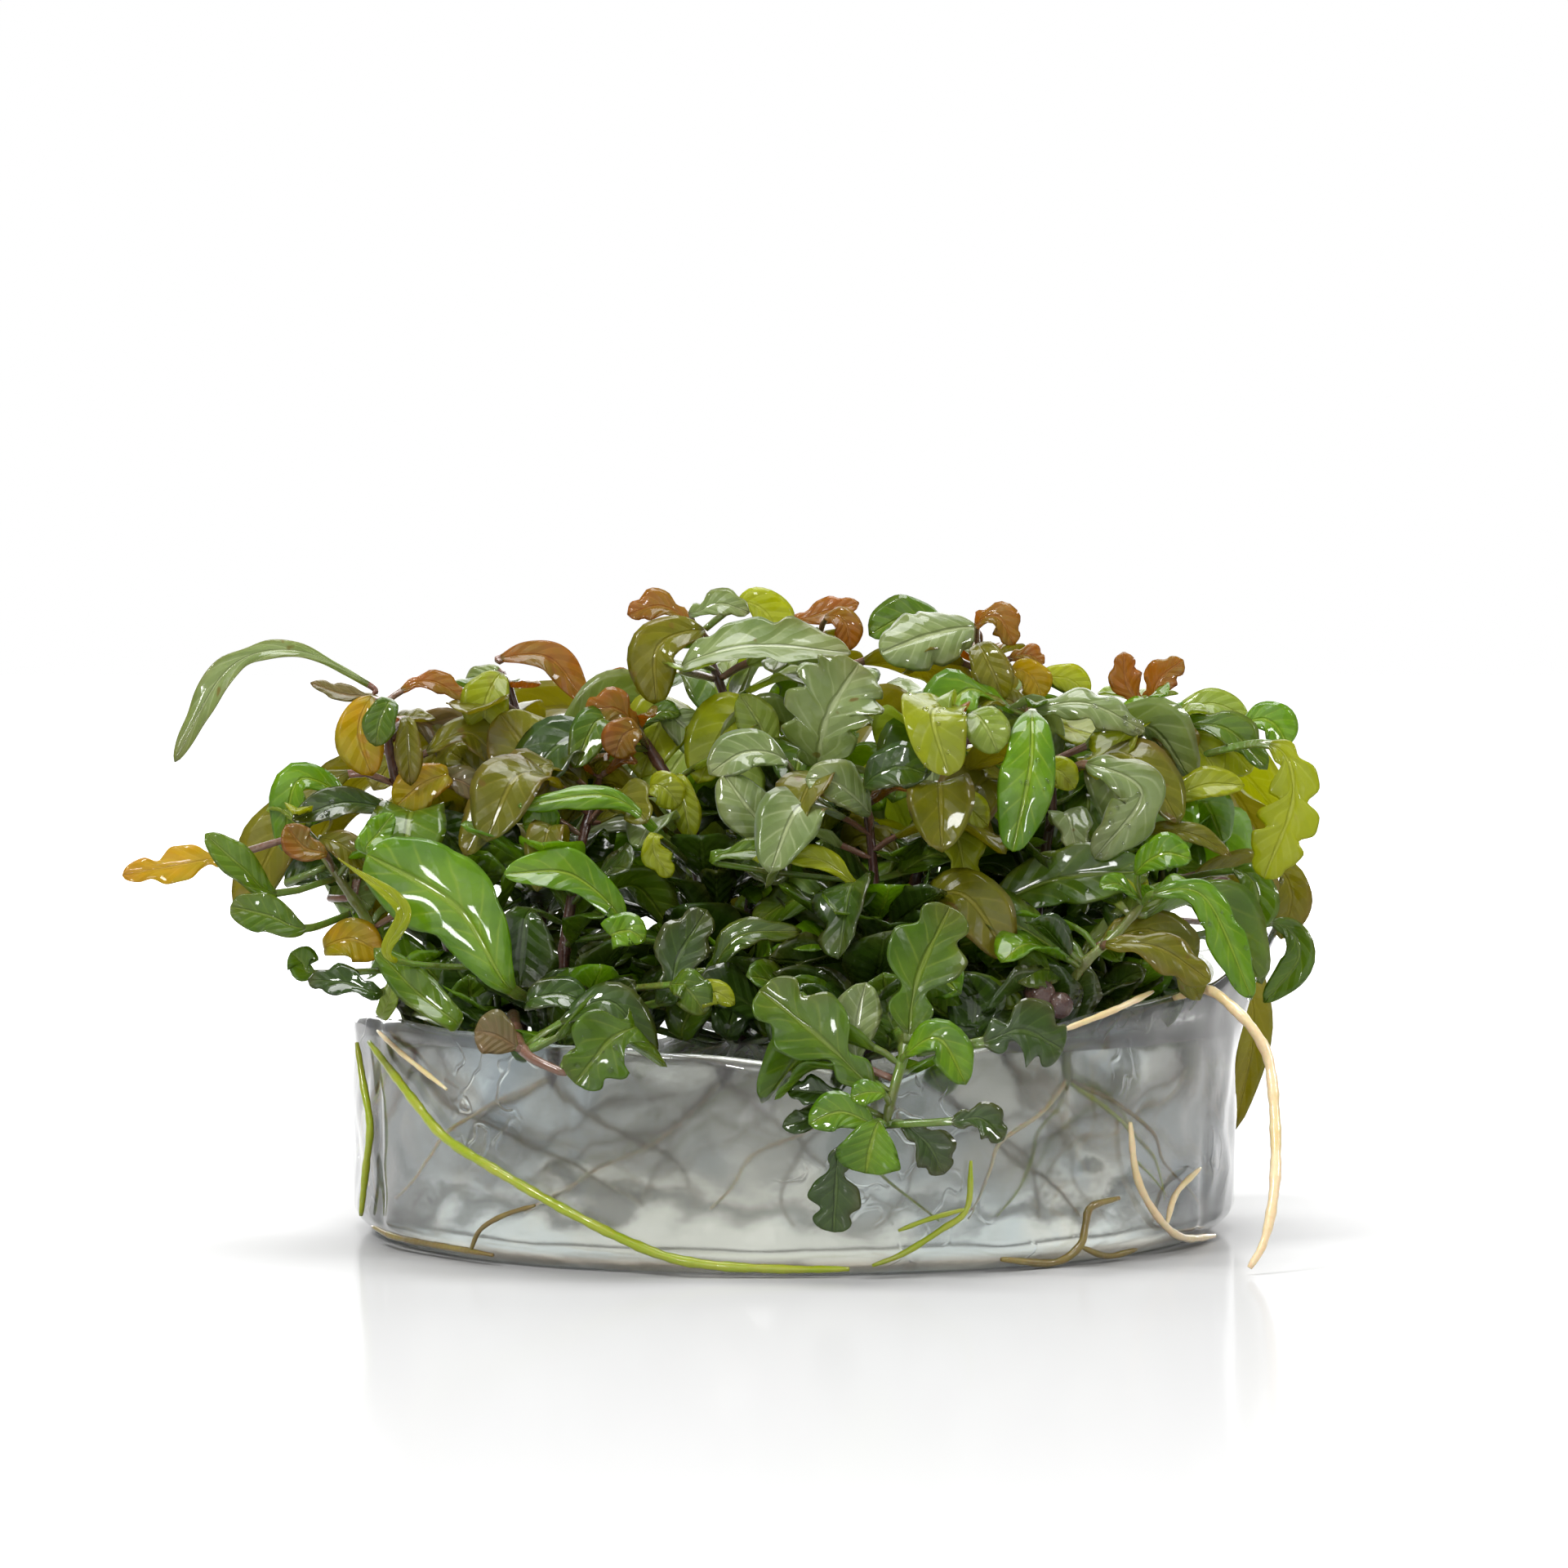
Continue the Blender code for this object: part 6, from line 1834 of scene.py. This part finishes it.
    def add_rim_leaves(self) -> None:
        """Add the leaves that stand on the slab in front of the stem, with draws of their own, in dark tints
        that paint the shade just behind the rim.
        """
        self.rng = np.random.default_rng(self.seed + RIM_SEED)
        kind, rng, stem = RIM_LEAVES, self.rng, self.points
        for _ in range(kind.count):
            foot = np.array([stem[0][0] + rng.uniform(-6.5, 6.5), stem[0][1] - rng.uniform(2.0, 13.0), 0.0])
            foot[:2] *= min(1.0, (GEL_RADIUS - 3.5) / np.hypot(*foot[:2]))
            foot[2] = GEL_TOP + rng.uniform(*kind.lift)
            length = rng.uniform(*kind.length)
            lean = rng.uniform(-0.5, 0.5) * length
            middle = foot + np.array([0.4 * lean, -0.3, 0.5 * length])
            tip = foot + np.array([lean, -0.9, 0.8 * length])
            tint = pick(rng, kind.tints)
            self.add_leaf(PLAIN_BLADE, [foot, middle, tip], length * rng.uniform(*kind.width),
                          rng.uniform(*kind.tilt), tint, UNDERGROWTH_FINENESS)

    def add_middle_leaves(self) -> None:
        """Add the middling leaves that fill the canopy between the larger ones."""
        kind, rng = MIDDLE_LEAVES, self.rng
        for number in range(kind.count):
            share = 0.42 + 0.56 * (number + rng.uniform(0, 1)) / kind.count
            start = evenly(self.points[1:], (share,))[0]
            outward = outwards(number * GOLDEN_TURN + rng.uniform(-0.5, 0.5))
            length = rng.uniform(*kind.length)
            foot = start + outward * rng.uniform(*kind.stalk) + upwards(rng.uniform(*kind.lift))
            middle = foot + outward * length * HALF_WAY + upwards(rng.uniform(*kind.arch))
            tip = foot + outward * length * TIP_REACH - upwards(length * rng.uniform(*kind.rise))
            if np.hypot(*tip[:2]) > WIDEST_SPREAD - 2:
                continue
            blade = under_canopy([foot, middle, tip], 0.5)
            cut = LOBED_BLADE if rng.uniform() < 0.5 else PLAIN_BLADE
            self.add_leaf(cut, blade, length * rng.uniform(*kind.width), rng.uniform(*kind.tilt),
                          self.spiral_tint(middle))

    def add_crown(self) -> None:
        """Add the small young leaves at the stem's tip."""
        kind, rng, top = CROWN_LEAVES, self.rng, self.points[-1]
        room = canopy_height(top[0]) + CANOPY_ROOM - 0.4
        tints = PALE_YOUNG_TINTS if self.tint is PALE else YOUNG_TINTS
        for number in range(kind.count):
            outward = outwards(number * math.pi / 2 + rng.uniform(-0.5, 0.5))
            length = rng.uniform(*kind.length)
            foot = top + outward * 0.5 + upwards(0.3)
            middle = foot + outward * length * HALF_WAY + upwards(length * 0.30)
            tip = foot + outward * length * TIP_REACH + upwards(length * 0.25)
            for point in (foot, middle, tip):
                point[2] = min(point[2], room)
            self.add_leaf(PLAIN_BLADE, [foot, middle, tip], length * kind.width[0],
                          rng.uniform(*kind.tilt), pick(rng, tints))


@dataclass
class LargeLeaves:
    """The large leaves, each a piece of its own."""

    seed: int
    rows: int = 54
    columns: int = 21
    beads: int = 9
    bead_radius: Span = (0.10, 0.26)
    beaded: tuple[str, ...] = (
        "leaf_pale_hanging", "leaf_long_hanging", "leaf_silver_arch", "leaf_dark_wide", "leaf_dark_glossy",
        "leaf_grey_right", "leaf_bright_drooping", "leaf_front_lobed",
    )

    def build(self, garden: Garden, leaf: Leaf, stem: Array, number: int) -> None:
        """Make one large leaf and dress it.

        Args:
            garden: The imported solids.
            leaf: The leaf of the plan.
            stem: The points of the stem that it grows from.
            number: Which one it is, which sets its irregularities.
        """
        rng = np.random.default_rng(self.seed + number)
        blade = garden.settled(leaf, leaf.name)
        if blade is None:
            LOG.info("%s isn't where the plan puts it", leaf.name)
            blade = [from_picture(*point) for point in leaf.path]
        fallback = LOBED_BLADE if leaf.form is LOBED else PLAIN_BLADE
        body = LeafBody(BLADES.get(leaf.name, fallback), self.rows, self.columns)
        start = attach_point(stem, blade[0], True)
        points, faces, places = body.form(start, blade, leaf.width * FULLER_LARGE, leaf.tilt, rng)
        draft = Draft()
        draft.add_leaf(points, faces, places, leaf.tint)
        if leaf.name in self.beaded:
            self.add_beads(draft, points, faces, rng)
        garden.place(draft.piece(plain_name(leaf.name)), leaf.name)

    def add_beads(self, draft: Draft, points: Array, faces: Faces, rng: Random) -> None:
        """Add small drops of water that sit on the leaf's upper side."""
        for _ in range(self.beads):
            face = faces[2 * int(rng.integers(len(faces) // 4, len(faces) // 2))]
            corners = points[list(face)]
            normal = unit(np.cross(corners[1] - corners[0], corners[2] - corners[0]))
            draft.add(*bead(corners.mean(axis=0), normal, rng.uniform(*self.bead_radius)), WATER)


def bead(middle: Array, normal: Array, radius: float) -> tuple[Array, Faces]:
    """Make a drop of water, flattened on the leaf that it sits on.

    Args:
        middle: Where it sits.
        normal: The leaf's upward direction there.
        radius: Its radius.

    Returns:
        Its points and faces.
    """
    heights = np.linspace(-0.98, 0.98, 9)
    path = np.array([middle + normal * radius * 0.62 * (height + 0.45) for height in heights])
    return tube(path, radius * np.sqrt(1 - heights ** 2), 14)


@dataclass
class Roots:
    """The roots: seven on the slab's wall, one along its rim, and one that trails to the table."""

    sides: int = 14
    step: float = 0.45
    seed: int = 71

    def form(self, path: list[Array], radius: float, rng: Random) -> tuple[Array, Faces]:
        """Draw one root: a wavering tube, thinner at its ends."""
        curve = smooth_path(path)
        length = np.linalg.norm(np.diff(curve, axis=0), axis=1).sum()
        count = max(int(length / self.step), 8)
        points = evenly(curve, np.linspace(0, 1, count))
        along = np.linspace(-1, 1, count)
        phase = rng.uniform(0, 6)
        radii = radius * (1 - 0.5 * np.abs(along) ** 5)
        radii *= 1 + 0.08 * np.sin(along * length * 0.9 + phase) + 0.06 * np.sin(along * length * 2.3)
        return tube(points, radii, self.sides)

    def build(self, garden: Garden) -> None:
        """Make every root and dress it."""
        rng = np.random.default_rng(self.seed)
        for root in ROOTS:
            draft = Draft()
            main = [on_wall(across, down, root.radius) for across, down in root.path]
            draft.add(*self.form(main, root.radius, rng), STEM_FINISHES[root.tint])
            for branch in root.branches:
                path = [on_wall(across, down, root.radius) for across, down in branch]
                draft.add(*self.form(path, root.radius * 0.8, rng), STEM_FINISHES[root.tint])
            garden.place(draft.piece(plain_name(root.name)), root.name)
        rim = [from_picture(*point) for point in RIM_ROOT]
        trailing = [from_picture(*point) for point in TRAILING_ROOT]
        trailing[-1][2] = TRAILING_RADIUS + 0.05
        for name, path, radius in (
            ("root_rim", rim, RIM_ROOT_RADIUS), ("root_trailing", trailing, TRAILING_RADIUS),
        ):
            draft = Draft()
            draft.add(*self.form(path, radius, rng), STEM_FINISHES[ROOT_CREAM])
            garden.place(draft.piece(plain_name(name)), name)


@dataclass
class Callus:
    """Two round knobs of callus grown together, with a lumpy skin."""

    sides: int = 40
    rows: int = 30
    lump: float = 0.07
    wave_numbers: Point = (5.1, 4.3, 4.7)

    def build(self, garden: Garden) -> None:
        """Make the knobs and dress them."""
        draft = Draft()
        for number, (across, down, depth, radius) in enumerate(CALLUS_KNOBS):
            centre = from_picture(across, down, depth)
            heights = np.sin(np.linspace(-1.5, 1.5, self.rows))
            path = np.array([centre + upwards(radius * 0.92 * height) for height in heights])
            points, faces = tube(path, radius * 0.96 * np.sqrt(1 - heights ** 2), self.sides)
            away = points - centre
            waves = np.sin(away * self.wave_numbers + (number, 1, 2))
            lumps = 1 + waves[:, 0] * waves[:, 1] * waves[:, 2]
            draft.add(points - away * self.lump * lumps[:, None], faces, CALLUS)
        garden.place(draft.piece("callus_knobs"), "callus")


@dataclass(frozen=True)
class Softbox:
    """A square lamp: where it hangs and its size, in metres, and its power in watts."""

    name: str
    place: Point
    size: float
    power: float


@dataclass
class Studio:
    """The floor, the lights and the camera. Their places are in metres, apart from the camera's."""

    floor_radius: float = 2.5
    floor_sides: int = 64
    floor_drop: float = 0.00005
    lit_point: Point = (0.0, 0.0, 0.025)
    camera_at: Point = (-0.5, -499.695, 52.750)
    room_light: float = 0.36

    def build(self) -> None:
        """Set up everything round the plant."""
        self.lay_floor()
        self.hang_lights()
        self.light_room()
        self.place_camera()

    def lay_floor(self) -> None:
        """Lay a round floor just under the gel."""
        turns = np.arange(self.floor_sides) * math.pi / (self.floor_sides // 2)
        rim = [(self.floor_radius * math.cos(turn), self.floor_radius * math.sin(turn)) for turn in turns]
        mesh = bpy.data.meshes.new("studio_floor")
        mesh.from_pydata([(x, y, -self.floor_drop) for x, y in rim], [], [tuple(range(self.floor_sides))])
        mesh.materials.append(STUDIO.material())
        floor = in_scene("studio_floor", mesh)

    def hang_lights(self) -> None:
        """Hang the softboxes round the plant."""
        for box in (
            Softbox("top_softbox", (0.00, 0.02, 0.60), 0.30, 2.8),
            Softbox("key_softbox", (-0.35, -0.35, 0.50), 0.12, 2.4),
            Softbox("right_softbox", (0.50, -0.10, 0.35), 0.10, 1.0),
            Softbox("front_softbox", (-0.12, -0.60, 0.17), 0.05, 0.35),
            Softbox("rear_softbox", (0.00, 0.60, 0.30), 0.80, 6.0),
            Softbox("fill_softbox", (0.00, -1.00, 0.35), 0.80, 2.0),
        ):
            data = bpy.data.lights.new(box.name, "AREA")
            data.size = box.size
            data.energy = box.power
            lamp = in_scene(box.name, data)
            lamp.location = box.place
            lamp.visible_camera = False
            aim = Vector(self.lit_point) - Vector(box.place)
            lamp.rotation_euler = aim.to_track_quat("-Z", "Y").to_euler()

    def light_room(self) -> None:
        """Light the room softly, and let it be seen as white."""
        world = bpy.data.worlds.new("Studio room")
        world.use_nodes = True
        table = NodeTable(world.node_tree)
        seen = table.add("LightPath").outputs["Is Camera Ray"]
        strength = table.ramp(seen, 0.0, 1.0, self.room_light, 1.0)
        room = table.add("Background", Color=(1.0, 1.0, 1.0), Strength=strength)
        table.add("OutputWorld", Surface=room.outputs[0])
        bpy.context.scene.world = world
        bpy.context.scene.view_settings.view_transform = "Standard"

    def place_camera(self) -> None:
        """Look from where the photograph was taken."""
        data = bpy.data.cameras.new("front_camera")
        data.sensor_width = SENSOR
        data.lens = VIEW_SCALE * SENSOR / VIEW_WIDE
        data.clip_start = 0.01
        camera = in_scene("front_camera", data)
        camera.location = [value * MM for value in self.camera_at]
        camera.rotation_euler = (math.pi / 2 - VIEW_PITCH, 0.0, 0.0)
        bpy.context.scene.camera = camera


LARGE_SEED = 500


def main() -> None:
    """Build the slab, its roots and callus, then the shoots and the large leaves."""
    logging.basicConfig(level=logging.INFO, format="%(name)s: %(message)s")
    LeafSurface()
    LivingSurface()
    Studio().build()
    garden = Garden()
    Slab().build(garden)
    Roots().build(garden)
    Callus().build(garden)
    stems = {shoot.name: stem_points(shoot) for shoot in SHOOTS}
    stems.update({shoot.name: rear_stem_points(shoot) for shoot in REAR_SHOOTS})
    tints = {shoot.name: shoot.tint for shoot in SHOOTS}
    spirals = {shoot.name: (shoot.inner, INNER_TURN) for shoot in SHOOTS}
    spirals.update({shoot.name: (shoot.leaves, shoot.turn) for shoot in REAR_SHOOTS})
    stem = Stem()
    large = LargeLeaves(seed=LARGE_SEED)
    number = 0
    for seed, (name, points) in enumerate(stems.items()):
        leaves = LEAVES.get(name, ())
        shoot = LeafyShoot(name, points, tints.get(name, RED_BROWN), stem, seed)
        shoot.build(garden, leaves, spirals[name])
        for leaf in leaves:
            if leaf.name:
                large.build(garden, leaf, points, number)
                number += 1
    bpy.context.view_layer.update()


if __name__ == "__main__":
    main()
